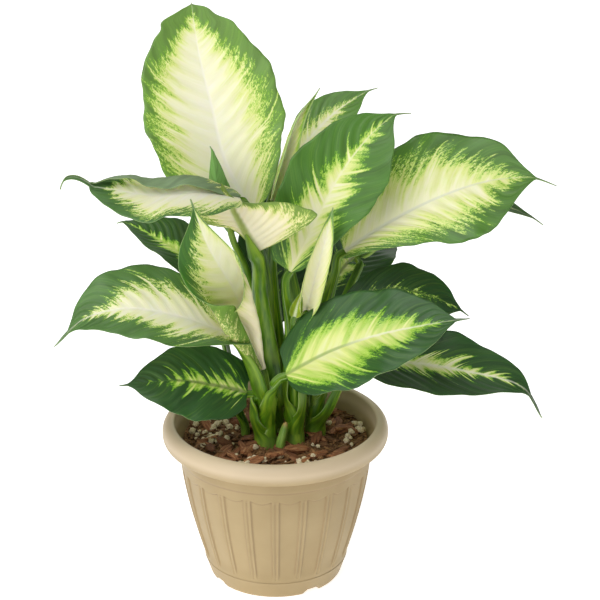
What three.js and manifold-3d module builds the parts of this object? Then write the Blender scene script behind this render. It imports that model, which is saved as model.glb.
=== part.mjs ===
// A potted dieffenbachia: a ribbed plastic pot, its potting mix, five shoots, a sprout and the leaf blades.
// Millimetres, +Z up. The pot's axis is the middle of the plant and the pot stands on z = 0.
import * as THREE from 'three';
import { mergeVertices } from 'three/addons/utils/BufferGeometryUtils.js';
import Module from 'manifold-3d';

const wasm = await Module();
wasm.setup();

const { abs, atan2, ceil, cos, floor, log, max, min, PI, pow, round, sin, sqrt } = Math;
const DEGREE = PI / 180;

// Driving dimensions
const CLEARANCE = 0.3;

const POT = {
  height: 122,
  baseRadius: 48,
  neckRadius: 70.5,
  neckHeight: 104,
  wallBulge: 1.55,
  wall: 2.4,
  lipRadius: 82.5,
  lipBottom: 107,
  lipHem: 3,
  lipCrownRise: 8,
  mouthRadius: 73.5,
  mouthFoot: [72.3, 108],
  footHeight: 4.5,
  footWall: 4,
  footSlope: 1,
  floorTop: 7.5,
  stepHeight: 0.7,
  baseRingTop: 14,
  baseRingStep: 0.7,
  panels: 21,
  panelTurn: 0.5,
  panelBottom: 17,
  panelTop: 88,
  panelEdge: 1,
  panelSink: 0.9,
  bandTop: 96,
  bandStep: 0.7,
  ribShare: 0.24,
  slopeShare: 0.04,
  footGaps: 4,
  footGapTurn: 33.5,
  footGapWidth: 15,
  footGapTopWidth: 9,
  footGapTop: 4.2,
  footGapShoulder: 0.4,
  footGapDepth: 16,
  drainRadius: 4,
  drainPitchRadius: 30,
  drainLength: 12,
};

const SOIL = {
  top: 105,
  crown: 3,
  bump: 1.1,
  wallGap: 0.7,
  segments: 36,
  rings: [1, 0.84, 0.64, 0.44, 0.22, 0],
  holeDepth: 30,
  holeRise: 6,
  holeGap: 0.8,
  chips: 30,
  chipSize: [12, 5.5, 3],
  chipReach: 57,
  beads: 24,
  beadRadius: 2.2,
  beadReach: 61,
  seed: 7,
};

const STEM = {
  sides: 7,
  caneSides: 12,
  caneRise: 15,
  caneShoulder: 0.6,
  petioleRise: 6,
  bladeLead: 6,
  sheathSpan: [0.1, 0.75],
  stepLength: 13,
};

const BLADE = {
  thickness: 0.8,
  rows: 10,
  columns: 6,
  ribDepth: [1.6, 0.2],
  narrowHalf: [2.3, 0.9],
  bodyEnd: 0.95,
  blunt: 0.85,
  tipShrink: 0.25,
  leastBend: 1e-4,
  waveShift: 0.3,
};

const COLOURS = {
  pot: 0xc3aa80,
  soil: 0x46301f,
  stem: 0x4f7d22,
  sprout: 0x7f9a3c,
  pale: 0xd9dfae,
  feathered: 0x8fb350,
  dark: 0x2f5a34,
};

// Leaves
// spine: points of the midrib from the petiole's end to the drip tip
// half: half-widths left and right of the midrib, seen on the upper face with the tip ahead
// face: which way the upper face looks, at the base and at the tip
// fold: angle of both halves at the midrib, at the base and at the tip, in degrees
// curl: how far the left and the right half bend on to their margins, each at base and tip, in degrees
// wave: height, count and phase of the margin's waves
// widest: where along the spine the left and the right half are widest
// blunt: smaller for a leaf that stays broad towards both ends
// bodyEnd: where the broad part ends and the drip tip begins
// taper: larger for a leaf that narrows fast towards its tip
const LEAVES = [
  {
    name: 'leaf_01_top', kind: 'pale',
    spine: [[-17, 10, 279], [-35, 18, 315], [-44, 27, 351], [-53, 39, 387], [-58, 51, 419]],
    half: [49, 48], face: [[0.15, -0.95, 0.35], [0.1, -0.85, 0.5]],
    fold: [14, 6], curl: [[8, 4], [10, 8]], wave: [1.6, 3, 0.2], widest: [0.48, 0.48], blunt: 0.5,
  },
  {
    name: 'leaf_02_left_upper', kind: 'pale',
    spine: [[-22, -13, 302], [-52, -31, 308], [-84, -34, 306], [-116, -31, 310], [-149, -27, 312]],
    half: [27, 12], face: [[0, -0.35, 1], [0, -0.4, 1]],
    fold: [10, 6], curl: [[-20, -6], [130, 60]], wave: [1.5, 2.5, 0.1],
    widest: [0.42, 0.42], blunt: 0.7, bodyEnd: 0.82,
  },
  {
    name: 'leaf_03_reverse', kind: 'pale',
    spine: [[-13, -8, 256], [-21, -12, 272], [-28, -17, 287], [-33, -21, 301]],
    half: [76, 12], face: [[0.35, 0.9, -0.2], [0.3, 0.9, -0.2]],
    fold: [4, 4], curl: [[0, 0], [10, 40]], wave: [1.4, 2, 0.3], widest: [0.3, 0.3], taper: 1.3,
  },
  {
    name: 'leaf_04_left_back', kind: 'feathered',
    spine: [[-45, 18, 215], [-66, 27, 238], [-90, 37, 251], [-114, 48, 259]],
    half: [15, 24], face: [[0.2, -0.5, 0.85], [0, -0.3, 0.95]],
    fold: [12, 8], curl: [[6, 4], [6, 4]], wave: [1.2, 2, 0.4], widest: [0.42, 0.42],
  },
  {
    name: 'leaf_05_unrolling', kind: 'pale',
    spine: [[-9, -8, 166], [-17, -19, 199], [-27, -33, 236], [-40, -48, 275], [-55, -62, 313]],
    half: [38, 13], face: [[0.2, -0.95, 0.3], [0.3, -0.95, 0.3]],
    fold: [30, 8], curl: [[130, 10], [110, 20]], wave: [1.2, 2.5, 0.6], widest: [0.68, 0.6],
  },
  {
    name: 'leaf_06_left', kind: 'feathered',
    spine: [[-36, -22, 200], [-66, -33, 216], [-101, -40, 225], [-131, -44, 219], [-152, -46, 200]],
    half: [30, 32], face: [[0.1, -0.6, 0.8], [-0.3, -0.5, 0.8]],
    fold: [14, 8], curl: [[-8, -4], [8, 4]], wave: [1.8, 3, 0.1], widest: [0.42, 0.42], bodyEnd: 0.88,
  },
  {
    name: 'leaf_07_lower_left', kind: 'dark',
    spine: [[-20, -18, 151], [-42, -28, 160], [-66, -35, 166], [-88, -40, 166], [-108, -43, 164]],
    half: [28, 26], face: [[0.1, -0.7, 0.7], [0, -0.6, 0.8]],
    fold: [10, 6], curl: [[-14, -6], [6, 4]], wave: [1.2, 2.5, 0.5], widest: [0.4, 0.4],
  },
  {
    name: 'leaf_08_tip', kind: 'dark',
    spine: [[-30, -5, 268], [-38, -7, 298], [-43, -6, 332]],
    half: [8, 8], face: [[0.1, 0.95, -0.2], [0.1, 0.95, -0.2]],
    fold: [10, 20], curl: [[30, 60], [30, 60]], wave: [0.4, 1, 0], widest: [0.45, 0.45],
  },
  {
    name: 'leaf_09_centre', kind: 'feathered',
    spine: [[11, -2, 238], [30, 4, 276], [46, 10, 306], [66, 18, 331], [88, 26, 349]],
    half: [30, 32], face: [[0.1, -0.9, 0.4], [-0.1, -0.8, 0.6]],
    fold: [12, 6], curl: [[4, 2], [6, 4]], wave: [1.6, 2.5, 0.2], widest: [0.47, 0.56], blunt: 0.7,
  },
  {
    name: 'leaf_10_right', kind: 'pale',
    spine: [[50, 12, 248], [80, 17, 267], [115, 20, 285], [152, 20, 298], [190, 15, 303]],
    half: [46, 42], face: [[-0.1, -0.8, 0.6], [0, -0.6, 0.8]],
    fold: [10, 6], curl: [[6, 4], [-10, -4]], wave: [2.0, 3, 0.7], widest: [0.5, 0.66], blunt: 0.62,
  },
  {
    name: 'leaf_11_back_upper', kind: 'feathered',
    spine: [[5, 40, 290], [22, 50, 316], [44, 62, 336], [70, 72, 351]],
    half: [17, 19], face: [[-0.1, -0.7, 0.7], [0, -0.5, 0.85]],
    fold: [12, 6], curl: [[4, 2], [4, 2]], wave: [1.2, 2, 0.2], widest: [0.55, 0.55],
  },
  {
    name: 'leaf_12_rolled', kind: 'pale',
    spine: [[-2, 19, 284], [6, 23, 312], [16, 27, 340], [31, 31, 361]],
    half: [11, 11], face: [[0.3, -0.9, 0.2], [0.3, -0.9, 0.3]],
    fold: [35, 35], curl: [[75, 75], [55, 55]], wave: [0, 2, 0], widest: [0.35, 0.35],
  },
  {
    name: 'leaf_13_folded', kind: 'pale',
    spine: [[23, -3, 209], [29, -6, 236], [36, -8, 264], [41, -8, 288]],
    half: [16, 16], face: [[-0.2, -0.95, 0.2], [-0.2, -0.95, 0.3]],
    fold: [40, 20], curl: [[90, 60], [30, 30]], wave: [1.0, 2, 0.2], widest: [0.5, 0.5],
  },
  {
    name: 'leaf_14_front_right', kind: 'feathered',
    spine: [[8, -24, 168], [40, -33, 189], [72, -40, 201], [104, -46, 211], [133, -50, 222]],
    half: [38, 30], face: [[-0.1, -0.65, 0.75], [0, -0.55, 0.8]],
    fold: [10, 6], curl: [[4, 2], [-12, -6]], wave: [1.8, 3, 0.4], widest: [0.38, 0.38], blunt: 0.6,
    bodyEnd: 0.93,
  },
  {
    name: 'leaf_15_right_middle', kind: 'dark',
    spine: [[50, 13, 210], [78, 17, 217], [108, 17, 213], [138, 14, 200]],
    half: [19, 34], face: [[0, -0.6, 0.8], [0.2, -0.5, 0.8]],
    fold: [10, 6], curl: [[4, 2], [4, 2]], wave: [1.2, 2.5, 0.1], widest: [0.55, 0.55], blunt: 0.7,
  },
  {
    name: 'leaf_16_back_right', kind: 'dark',
    spine: [[36, 44, 203], [54, 60, 221], [72, 80, 228], [90, 102, 222]],
    half: [28, 30], face: [[0, -0.4, 0.9], [0.3, 0.2, 0.9]],
    fold: [10, 6], curl: [[4, 2], [4, 2]], wave: [1.4, 2.5, 0.6], widest: [0.42, 0.42],
  },
  {
    name: 'leaf_17_right_lower', kind: 'dark',
    spine: [[61, -4, 170], [98, -9, 170], [138, -13, 165], [176, -16, 155], [193, -14, 129]],
    half: [27, 27], face: [[0, -0.5, 0.85], [0.35, -0.5, 0.8]],
    fold: [12, 6], curl: [[4, 2], [4, 2]], wave: [1.4, 2.5, 0.3], widest: [0.38, 0.32], bodyEnd: 0.83,
  },
  {
    name: 'leaf_18_back_right_upper', kind: 'feathered',
    spine: [[66, 34, 240], [104, 46, 262], [150, 52, 272], [194, 50, 257]],
    half: [20, 20], face: [[0, -0.3, 0.95], [0.2, -0.2, 0.95]],
    fold: [10, 6], curl: [[4, 2], [4, 2]], wave: [1.4, 2.5, 0.8], widest: [0.42, 0.42],
  },
  {
    name: 'leaf_19_spear', kind: 'pale',
    spine: [[14, -8, 206], [16, -9, 215], [19, -9, 225]],
    half: [5, 5], face: [[0, -1, 0.2], [0, -1, 0.2]],
    fold: [25, 25], curl: [[45, 45], [45, 45]], wave: [0, 2, 0], widest: [0.4, 0.4],
  },
  {
    name: 'leaf_20_back_middle', kind: 'dark',
    spine: [[-5, 42, 178], [-9, 50, 214], [-12, 57, 248], [-16, 62, 282]],
    half: [25, 27], face: [[0.05, -0.95, 0.25], [0.1, -0.95, 0.25]],
    fold: [12, 6], curl: [[8, 4], [8, 4]], wave: [1.2, 2.5, 0.4], widest: [0.45, 0.45],
  },
];

// Shoots
// cane: the middle of the short cane in the soil, and its radius
// petioles: each carries the leaf of that name, starts beside the cane's middle, runs through
// the via points and ends at the blade; radius at its foot and at the blade
const SHOOTS = [
  {
    name: 'shoot_a_front_left', cane: [-7, -10], radius: 8,
    petioles: [
      {
        leaf: 'leaf_06_left', start: [-2, 0], radius: [5.2, 2.6],
        via: [[-11, -13, 148], [-19, -18, 178], [-28, -20, 195]],
      },
      {
        leaf: 'leaf_07_lower_left', start: [-3, -1], radius: [4.4, 2.2],
        via: [[-15, -14, 128], [-15, -16, 144]],
      },
      {
        leaf: 'leaf_05_unrolling', start: [0, 3], radius: [4.6, 2.2],
        via: [[-6, -7, 135]],
      },
      {
        leaf: 'leaf_14_front_right', start: [3, -2], radius: [4.8, 2.6],
        via: [[-3, -16, 128], [-3, -21, 150]],
      },
    ],
  },
  {
    name: 'shoot_b_back_left', cane: [-1, 8], radius: 7.5,
    petioles: [
      {
        leaf: 'leaf_03_reverse', start: [-1, -2], radius: [5.6, 3],
        via: [[-4, 4, 150], [-8, 1, 190], [-11, -3, 225]],
      },
      {
        leaf: 'leaf_02_left_upper', start: [-1, -1], radius: [4.6, 2.2],
        via: [[-6, 4, 160], [-10, 4, 210], [-13, 1, 250], [-15, -3, 280]],
      },
      {
        leaf: 'leaf_01_top', start: [-1, 2], radius: [5, 2.8],
        via: [[-4, 10, 170], [-7, 12, 225], [-11, 11, 258]],
      },
      {
        leaf: 'leaf_08_tip', start: [-2, 0], radius: [4, 1.8],
        via: [[-9, 6, 180], [-20, 5, 235]],
      },
      {
        leaf: 'leaf_12_rolled', start: [1, 3], radius: [4.4, 2],
        via: [[1, 14, 180], [-2, 17, 240]],
      },
      {
        leaf: 'leaf_20_back_middle', start: [0, 4], radius: [3.8, 2],
        via: [[-2, 22, 132], [-3, 36, 158]],
      },
    ],
  },
  {
    name: 'shoot_c_middle', cane: [14, -6], radius: 7,
    petioles: [
      {
        leaf: 'leaf_09_centre', start: [-2, 0], radius: [4.6, 2.4],
        via: [[10, -5, 150], [10, -5, 200]],
      },
      {
        leaf: 'leaf_13_folded', start: [2, -1], radius: [4.4, 2.2],
        via: [[19, -6, 150], [21, -5, 188]],
      },
      {
        leaf: 'leaf_19_spear', start: [0, 1], radius: [3.6, 1.8],
        via: [[14, -7, 150], [14, -8, 185]],
      },
    ],
  },
  {
    name: 'shoot_d_right', cane: [29, 7], radius: 7.5,
    petioles: [
      {
        leaf: 'leaf_10_right', start: [-1, -1], radius: [4.8, 2.6],
        via: [[30, 8, 150], [36, 10, 200], [43, 11, 232]],
      },
      {
        leaf: 'leaf_11_back_upper', start: [-3, 2], radius: [4.4, 2.2],
        via: [[20, 20, 170], [8, 32, 240], [3, 38, 275]],
      },
      {
        leaf: 'leaf_15_right_middle', start: [2, 0], radius: [4.2, 2.2],
        via: [[35, 9, 150], [43, 11, 197]],
      },
      {
        leaf: 'leaf_16_back_right', start: [0, 3], radius: [4.2, 2.2],
        via: [[30, 22, 155], [31, 35, 188]],
      },
      {
        leaf: 'leaf_17_right_lower', start: [1, -3], radius: [3.6, 2],
        via: [[38, -1, 128], [48, -3, 152], [54, -4, 167]],
      },
      {
        leaf: 'leaf_18_back_right_upper', start: [2, 2], radius: [4.2, 2.2],
        via: [[38, 20, 160], [52, 32, 205], [61, 34, 229]],
      },
    ],
  },
  {
    name: 'shoot_e_thin', cane: [-22, 2], radius: 2.6,
    petioles: [
      {
        leaf: 'leaf_04_left_back', start: [0, 0], radius: [2.6, 2],
        via: [[-27, 2, 124], [-34, 8, 165], [-41, 15, 200]],
      },
    ],
  },
];

// A blunt young shoot that stands by itself
const SPROUT = {
  foot: [4, -18], radius: 3.4, tipRadius: 1.2, roundness: 6,
  rise: [-10, 4], via: [[6, -17, 118], [8, -16, 127]],
};

// Geometry helpers

function solidFrom(geometry) {
  const clean = geometry.clone();
  for (const attribute of Object.keys(clean.attributes)) {
    if (attribute !== 'position') clean.deleteAttribute(attribute);
  }
  const merged = mergeVertices(clean, 1e-4);
  return new wasm.Manifold(new wasm.Mesh({
    numProp: 3,
    vertProperties: new Float32Array(merged.attributes.position.array),
    triVerts: new Uint32Array(merged.index.array),
  }));
}

function geometryFrom(solid) {
  const mesh = solid.getMesh();
  const geometry = new THREE.BufferGeometry();
  geometry.setAttribute('position', new THREE.BufferAttribute(new Float32Array(mesh.vertProperties), 3));
  geometry.setIndex(new THREE.BufferAttribute(new Uint32Array(mesh.triVerts), 1));
  geometry.computeVertexNormals();
  return geometry;
}

function moveVertices(geometry, place) {
  const position = geometry.attributes.position;
  const point = new THREE.Vector3();
  for (let i = 0; i < position.count; i += 1) {
    point.fromBufferAttribute(position, i);
    const moved = place(point);
    position.setXYZ(i, moved.x, moved.y, moved.z);
  }
  return geometry;
}

function lerp(a, b, t) {
  return a + (b - a) * t;
}

function vector(p) {
  return new THREE.Vector3(p[0], p[1], p[2]);
}

// A fixed-seed generator, so that chips and beads lie the same way each time
function seededRandom(seed) {
  let state = seed;
  return () => {
    state = (state * 1664525 + 1013904223) % 4294967296;
    return state / 4294967296;
  };
}

function between(random, low, high) {
  return lerp(low, high, random());
}

function named(name, geometry, colour, roughness) {
  const material = new THREE.MeshStandardMaterial({ color: colour, roughness, metalness: 0 });
  const mesh = new THREE.Mesh(geometry, material);
  mesh.name = name;
  return mesh;
}

// Leaf blade
// u runs along the spine from 0 to 1, v across it from the left margin at -1 to the right one at 1

function spineCurve(leaf) {
  return new THREE.CatmullRomCurve3(leaf.spine.map(vector), false, 'catmullrom', 0.5);
}

// Rounded at the base, widest a little before the middle, drawn out to a drip tip
function widthShare(leaf, u, hand) {
  const bodyEnd = leaf.bodyEnd ?? BLADE.bodyEnd;
  const s = min(u / bodyEnd, 1);
  const power = log(0.5) / log(leaf.widest[hand] / bodyEnd);
  const arch = pow(max(sin(PI * pow(s, power)), 0), leaf.blunt ?? BLADE.blunt);
  return arch * (1 - BLADE.tipShrink * pow(s, 5)) * pow(1 - s, leaf.taper ?? 0);
}

function bladeFrame(leaf, curve, u) {
  const tangent = curve.getTangent(u).normalize();
  const face = vector(leaf.face[0]).lerp(vector(leaf.face[1]), u);
  face.addScaledVector(tangent, -face.dot(tangent)).normalize();
  return { centre: curve.getPoint(u), face, side: new THREE.Vector3().crossVectors(tangent, face) };
}

// Each half leaves the midrib at the fold angle and bends on evenly to its margin
function bladePoint(leaf, curve, u, v) {
  const frame = bladeFrame(leaf, curve, u);
  const hand = v < 0 ? 0 : 1;
  const reach = abs(v);
  const width = leaf.half[hand] * widthShare(leaf, u, hand) + lerp(...BLADE.narrowHalf, u);
  const fold = lerp(...leaf.fold, u) * DEGREE;
  const bend = lerp(...leaf.curl[hand], u) * DEGREE + BLADE.leastBend;
  const across = width * (sin(fold + bend * reach) - sin(fold)) / bend;
  const up = -width * (cos(fold + bend * reach) - cos(fold)) / bend;
  const [height, count, phase] = leaf.wave;
  const turn = 2 * PI * (count * u + phase + BLADE.waveShift * hand);
  const ripple = height * pow(reach, 1.5) * sin(turn) * sin(PI * min(u * 1.1, 1));
  return frame.centre
    .addScaledVector(frame.side, across * (hand === 0 ? -1 : 1))
    .addScaledVector(frame.face, up + ripple);
}

function bladeNormal(leaf, curve, u, v) {
  const step = 0.01;
  const u0 = max(u - step, 0);
  const u1 = min(u + step, 1);
  const v0 = max(v - step, -1);
  const v1 = min(v + step, 1);
  const along = bladePoint(leaf, curve, u1, v).sub(bladePoint(leaf, curve, u0, v));
  const across = bladePoint(leaf, curve, u, v1).sub(bladePoint(leaf, curve, u, v0));
  return across.cross(along).normalize();
}

// One face of the blade, row by row; the midrib stands out of the lower one
function bladeSheet(leaf, layer) {
  const curve = spineCurve(leaf);
  const { rows, columns, thickness, ribDepth } = BLADE;
  const positions = [];
  for (let i = 0; i <= rows; i += 1) {
    const u = i / rows;
    for (let j = 0; j <= columns; j += 1) {
      const v = 2 * j / columns - 1;
      const rib = layer < 0 && v === 0 ? lerp(...ribDepth, u) : 0;
      const point = bladePoint(leaf, curve, u, v);
      point.addScaledVector(bladeNormal(leaf, curve, u, v), layer * thickness / 2 - rib);
      positions.push(point.x, point.y, point.z);
    }
  }
  return positions;
}

// Both faces share one diagonal, so the blade keeps its thickness where it waves
function bladeFaces() {
  const { rows, columns } = BLADE;
  const stride = columns + 1;
  const sheet = (rows + 1) * stride;
  const index = [];
  const quad = (a, b, c, d) => index.push(a, b, c, a, c, d);
  for (let i = 0; i < rows; i += 1) {
    for (let j = 0; j < columns; j += 1) {
      const a = i * stride + j;
      const b = a + 1;
      const c = b + stride;
      const d = a + stride;
      quad(a, b, c, d);
      quad(sheet + a, sheet + d, sheet + c, sheet + b);
    }
  }
  for (let i = 0; i < rows; i += 1) {
    const left = i * stride;
    const right = left + columns;
    quad(left, left + stride, sheet + left + stride, sheet + left);
    quad(right, sheet + right, sheet + right + stride, right + stride);
  }
  for (let j = 0; j < columns; j += 1) {
    const tip = rows * stride + j;
    quad(j, sheet + j, sheet + j + 1, j + 1);
    quad(tip, tip + 1, sheet + tip + 1, sheet + tip);
  }
  return index;
}

function bladeGeometry(leaf) {
  const positions = [...bladeSheet(leaf, 1), ...bladeSheet(leaf, -1)];
  const geometry = new THREE.BufferGeometry();
  geometry.setAttribute('position', new THREE.BufferAttribute(new Float32Array(positions), 3));
  geometry.setIndex(bladeFaces());
  geometry.computeVertexNormals();
  return geometry;
}

// Stems

// A round rod bent along a curve; its section's radius changes from foot to tip
function rodSolid(curve, radiusAt) {
  const steps = ceil(curve.getLength() / STEM.stepLength);
  const rod = new THREE.CylinderGeometry(1, 1, 1, STEM.sides, steps);
  const up = new THREE.Vector3(0.3, 1, 0.1).normalize();
  moveVertices(rod, (p) => {
    const t = min(max(p.y + 0.5, 0), 1);
    const tangent = curve.getTangentAt(t);
    const across = new THREE.Vector3().crossVectors(tangent, up).normalize();
    const back = new THREE.Vector3().crossVectors(across, tangent);
    const r = radiusAt(t);
    return curve.getPointAt(t).addScaledVector(across, p.x * r).addScaledVector(back, p.z * r);
  });
  return solidFrom(rod);
}

// The petiole's last stretch runs straight on into the blade's midrib
function petioleCurve(shoot, petiole, leaf) {
  const blade = spineCurve(leaf);
  const tangent = blade.getTangent(0);
  const end = blade.getPoint(0).addScaledVector(tangent, -CLEARANCE);
  const before = end.clone().addScaledVector(tangent, -STEM.bladeLead);
  const foot = [0, 1].map((axis) => shoot.cane[axis] + petiole.start[axis]);
  const start = vector([...foot, SOIL.top + STEM.petioleRise]);
  const points = [start, ...petiole.via.map(vector), before, end];
  return new THREE.CatmullRomCurve3(points, false, 'centripetal');
}

// A sheath wraps the lower half of a petiole, so it is thick there and slim above
function petioleRadius(radius) {
  return (t) => lerp(...radius, THREE.MathUtils.smoothstep(t, ...STEM.sheathSpan));
}

function caneSolid(shoot) {
  const bottom = SOIL.top - SOIL.holeDepth;
  const top = SOIL.top + STEM.caneRise;
  const neck = shoot.radius * STEM.caneShoulder;
  const profile = [
    new THREE.Vector2(0, bottom),
    new THREE.Vector2(shoot.radius, bottom),
    new THREE.Vector2(shoot.radius, top - neck),
    new THREE.Vector2(neck, top),
    new THREE.Vector2(0, top),
  ];
  const cane = new THREE.LatheGeometry(profile, STEM.caneSides);
  cane.rotateX(PI / 2);
  cane.translate(shoot.cane[0], shoot.cane[1], 0);
  return solidFrom(cane);
}

function shootSolid(shoot) {
  let solid = caneSolid(shoot);
  for (const petiole of shoot.petioles) {
    const leaf = LEAVES.find((one) => one.name === petiole.leaf);
    const curve = petioleCurve(shoot, petiole, leaf);
    solid = solid.add(rodSolid(curve, petioleRadius(petiole.radius)));
  }
  return solid;
}

function sproutSolid() {
  const { foot, radius, tipRadius, roundness, rise, via } = SPROUT;
  const heights = [-SOIL.holeDepth, ...rise].map((z) => SOIL.top + z);
  const points = [...heights.map((z) => [...foot, z]), ...via];
  const curve = new THREE.CatmullRomCurve3(points.map(vector), false, 'centripetal');
  return rodSolid(curve, (t) => lerp(radius, tipRadius, pow(t, roundness)));
}

// Pot

// Outside of the wall at a height: it swells outwards from the foot and straightens to the neck
function wallRadius(z) {
  const share = 1 - pow(1 - min(z / POT.neckHeight, 1), POT.wallBulge);
  return lerp(POT.baseRadius, POT.neckRadius, share);
}

const INSIDE_HEIGHTS = [100, 70, 40, POT.floorTop];

function wallInside(z) {
  return wallRadius(z) - POT.wall;
}

// From the middle of the underside, up the outside and over the lip, down the inside to the floor
function potProfile() {
  const outside = (z, step = 0) => [wallRadius(z) + step, z];
  const inner = POT.baseRadius - POT.footWall;
  const panel = POT.panelTop - POT.panelBottom;
  const rises = [0, POT.panelEdge, panel / 3, 2 * panel / 3, panel - POT.panelEdge, panel];
  const points = [
    [0, POT.footHeight],
    [inner - POT.footSlope, POT.footHeight],
    [inner, 0],
    [POT.baseRadius, 0],
    outside(POT.baseRingTop, POT.baseRingStep),
    outside(POT.baseRingTop + POT.stepHeight),
    ...rises.map((rise) => outside(POT.panelBottom + rise)),
    outside(POT.bandTop),
    outside(POT.bandTop + POT.stepHeight, POT.bandStep),
    [POT.neckRadius + POT.bandStep, POT.lipBottom],
    ...lipProfile(),
    ...INSIDE_HEIGHTS.map((z) => [wallInside(z), z]),
    [0, POT.floorTop],
  ];
  return points.map(([r, z]) => new THREE.Vector2(r, z));
}

// The lip rolls outwards and over: a hem, a skirt, a round crown and a soft edge to the mouth
function lipProfile() {
  const { lipRadius, lipBottom, lipHem, lipCrownRise, height, mouthRadius, mouthFoot } = POT;
  const crown = (lipRadius + mouthRadius) / 2;
  const halfWidth = (lipRadius - mouthRadius) / 2;
  const points = [[lipRadius - lipHem, lipBottom], [lipRadius - lipHem / 5, lipBottom + lipHem]];
  for (let step = 0; step <= 4; step += 1) {
    const turn = PI * step / 4;
    points.push([crown + halfWidth * cos(turn), height - lipCrownRise * (1 - sin(turn))]);
  }
  points.push(mouthFoot);
  return points;
}

// Four vertices a panel: both edges of the rib, then both edges of the sunk panel
function ribbed(p) {
  const radius = sqrt(p.x * p.x + p.y * p.y);
  const pitch = 2 * PI / POT.panels;
  const turn = (atan2(p.x, -p.y) + 2 * PI) % (2 * PI);
  const step = round(turn / pitch * 4);
  const corner = step % 4;
  const shares = [0, POT.ribShare, POT.ribShare + POT.slopeShare, 1 - POT.slopeShare];
  const angle = POT.panelTurn * DEGREE + pitch * (floor(step / 4) + shares[corner] - POT.ribShare / 2);
  const isOutside = radius > wallRadius(p.z) - POT.wall / 2;
  const inset = POT.panelEdge / 2;
  const isPanel = p.z > POT.panelBottom + inset && p.z < POT.panelTop - inset;
  const reach = corner >= 2 && isOutside && isPanel ? radius - POT.panelSink : radius;
  return new THREE.Vector3(sin(angle) * reach, -cos(angle) * reach, p.z);
}

// A gap with sloped ends through the foot ring at one angle, counted from the front
function footGap(angle) {
  const { footGapWidth, footGapTopWidth, footGapTop, footGapShoulder, footGapDepth, baseRadius } = POT;
  const half = footGapWidth / 2;
  const topHalf = footGapTopWidth / 2;
  const shape = new THREE.Shape([
    new THREE.Vector2(-half, -1),
    new THREE.Vector2(half, -1),
    new THREE.Vector2(half, footGapShoulder),
    new THREE.Vector2(topHalf, footGapTop),
    new THREE.Vector2(-topHalf, footGapTop),
    new THREE.Vector2(-half, footGapShoulder),
  ]);
  const gap = new THREE.ExtrudeGeometry(shape, { depth: footGapDepth, bevelEnabled: false });
  const along = new THREE.Vector3(cos(angle), sin(angle), 0);
  const up = new THREE.Vector3(0, 0, 1);
  const out = new THREE.Vector3(sin(angle), -cos(angle), 0);
  gap.translate(0, 0, baseRadius - footGapDepth * 2 / 3);
  gap.applyMatrix4(new THREE.Matrix4().makeBasis(along, up, out));
  return solidFrom(gap);
}

function drainHole(angle) {
  const { drainRadius, drainPitchRadius, drainLength, footHeight } = POT;
  const hole = new THREE.CylinderGeometry(drainRadius, drainRadius, drainLength, 12);
  hole.rotateX(PI / 2);
  hole.translate(sin(angle) * drainPitchRadius, -cos(angle) * drainPitchRadius, footHeight);
  return solidFrom(hole);
}

function potSolid() {
  const shell = new THREE.LatheGeometry(potProfile(), POT.panels * 4);
  shell.rotateX(PI / 2);
  let solid = solidFrom(moveVertices(shell, ribbed));
  for (let i = 0; i < POT.footGaps; i += 1) {
    const angle = POT.footGapTurn * DEGREE + i * 2 * PI / POT.footGaps;
    solid = solid.subtract(footGap(angle));
    solid = solid.subtract(drainHole(angle + PI / POT.footGaps));
  }
  return solid;
}

// Potting mix

// Highest in the middle, uneven by a broad and a fine wave
function soilHeight(x, y) {
  const middle = 1 - (x * x + y * y) / (POT.neckRadius * POT.neckRadius);
  const broad = sin(x * 0.23 + 1.3) * cos(y * 0.19);
  const fine = sin(x * 0.41 - y * 0.37);
  return SOIL.top + (SOIL.crown + SOIL.bump * (broad + 0.6 * fine)) * middle;
}

function soilBody() {
  const bottom = POT.floorTop + CLEARANCE;
  const profile = [new THREE.Vector2(0, bottom)];
  for (const z of [...INSIDE_HEIGHTS].reverse()) {
    profile.push(new THREE.Vector2(wallInside(z) - SOIL.wallGap, max(z, bottom)));
  }
  const edge = wallInside(SOIL.top) - SOIL.wallGap;
  for (const share of SOIL.rings) {
    profile.push(new THREE.Vector2(edge * share, SOIL.top));
  }
  const body = new THREE.LatheGeometry(profile, SOIL.segments);
  body.rotateX(PI / 2);
  return solidFrom(moveVertices(body, (p) => {
    const z = p.z > SOIL.top - 0.5 ? soilHeight(p.x, p.y) : p.z;
    return new THREE.Vector3(p.x, p.y, z);
  }));
}

// A place on the surface, spread evenly over the disc inside the pot
function soilSpot(random, reach) {
  const turn = between(random, 0, 2 * PI);
  const radius = reach * sqrt(random());
  const x = cos(turn) * radius;
  const y = sin(turn) * radius;
  return new THREE.Vector3(x, y, soilHeight(x, y));
}

// A flat piece of bark with a slanted end and a narrower top, half sunk into the mix
function barkChip(random) {
  const [length, width, height] = SOIL.chipSize;
  const long = length * between(random, 0.6, 1.2);
  const wide = width * between(random, 0.6, 1.3);
  const slant = between(random, -0.25, 0.25);
  const topShare = 0.75;
  const chip = new THREE.BoxGeometry(long, wide, height);
  moveVertices(chip, (p) => new THREE.Vector3(p.x + p.y * slant, p.y * (p.z > 0 ? topShare : 1), p.z));
  chip.rotateY(between(random, -0.25, 0.25));
  chip.rotateX(between(random, -0.3, 0.3));
  chip.rotateZ(between(random, 0, 2 * PI));
  const spot = soilSpot(random, SOIL.chipReach);
  chip.translate(spot.x, spot.y, spot.z + height / 10);
  return solidFrom(chip);
}

function perliteBead(random) {
  const bead = new THREE.OctahedronGeometry(SOIL.beadRadius * between(random, 0.7, 1.4), 0);
  bead.rotateZ(between(random, 0, 2 * PI));
  const spot = soilSpot(random, SOIL.beadReach);
  bead.translate(spot.x, spot.y, spot.z + SOIL.beadRadius / 4);
  return solidFrom(bead);
}

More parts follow.
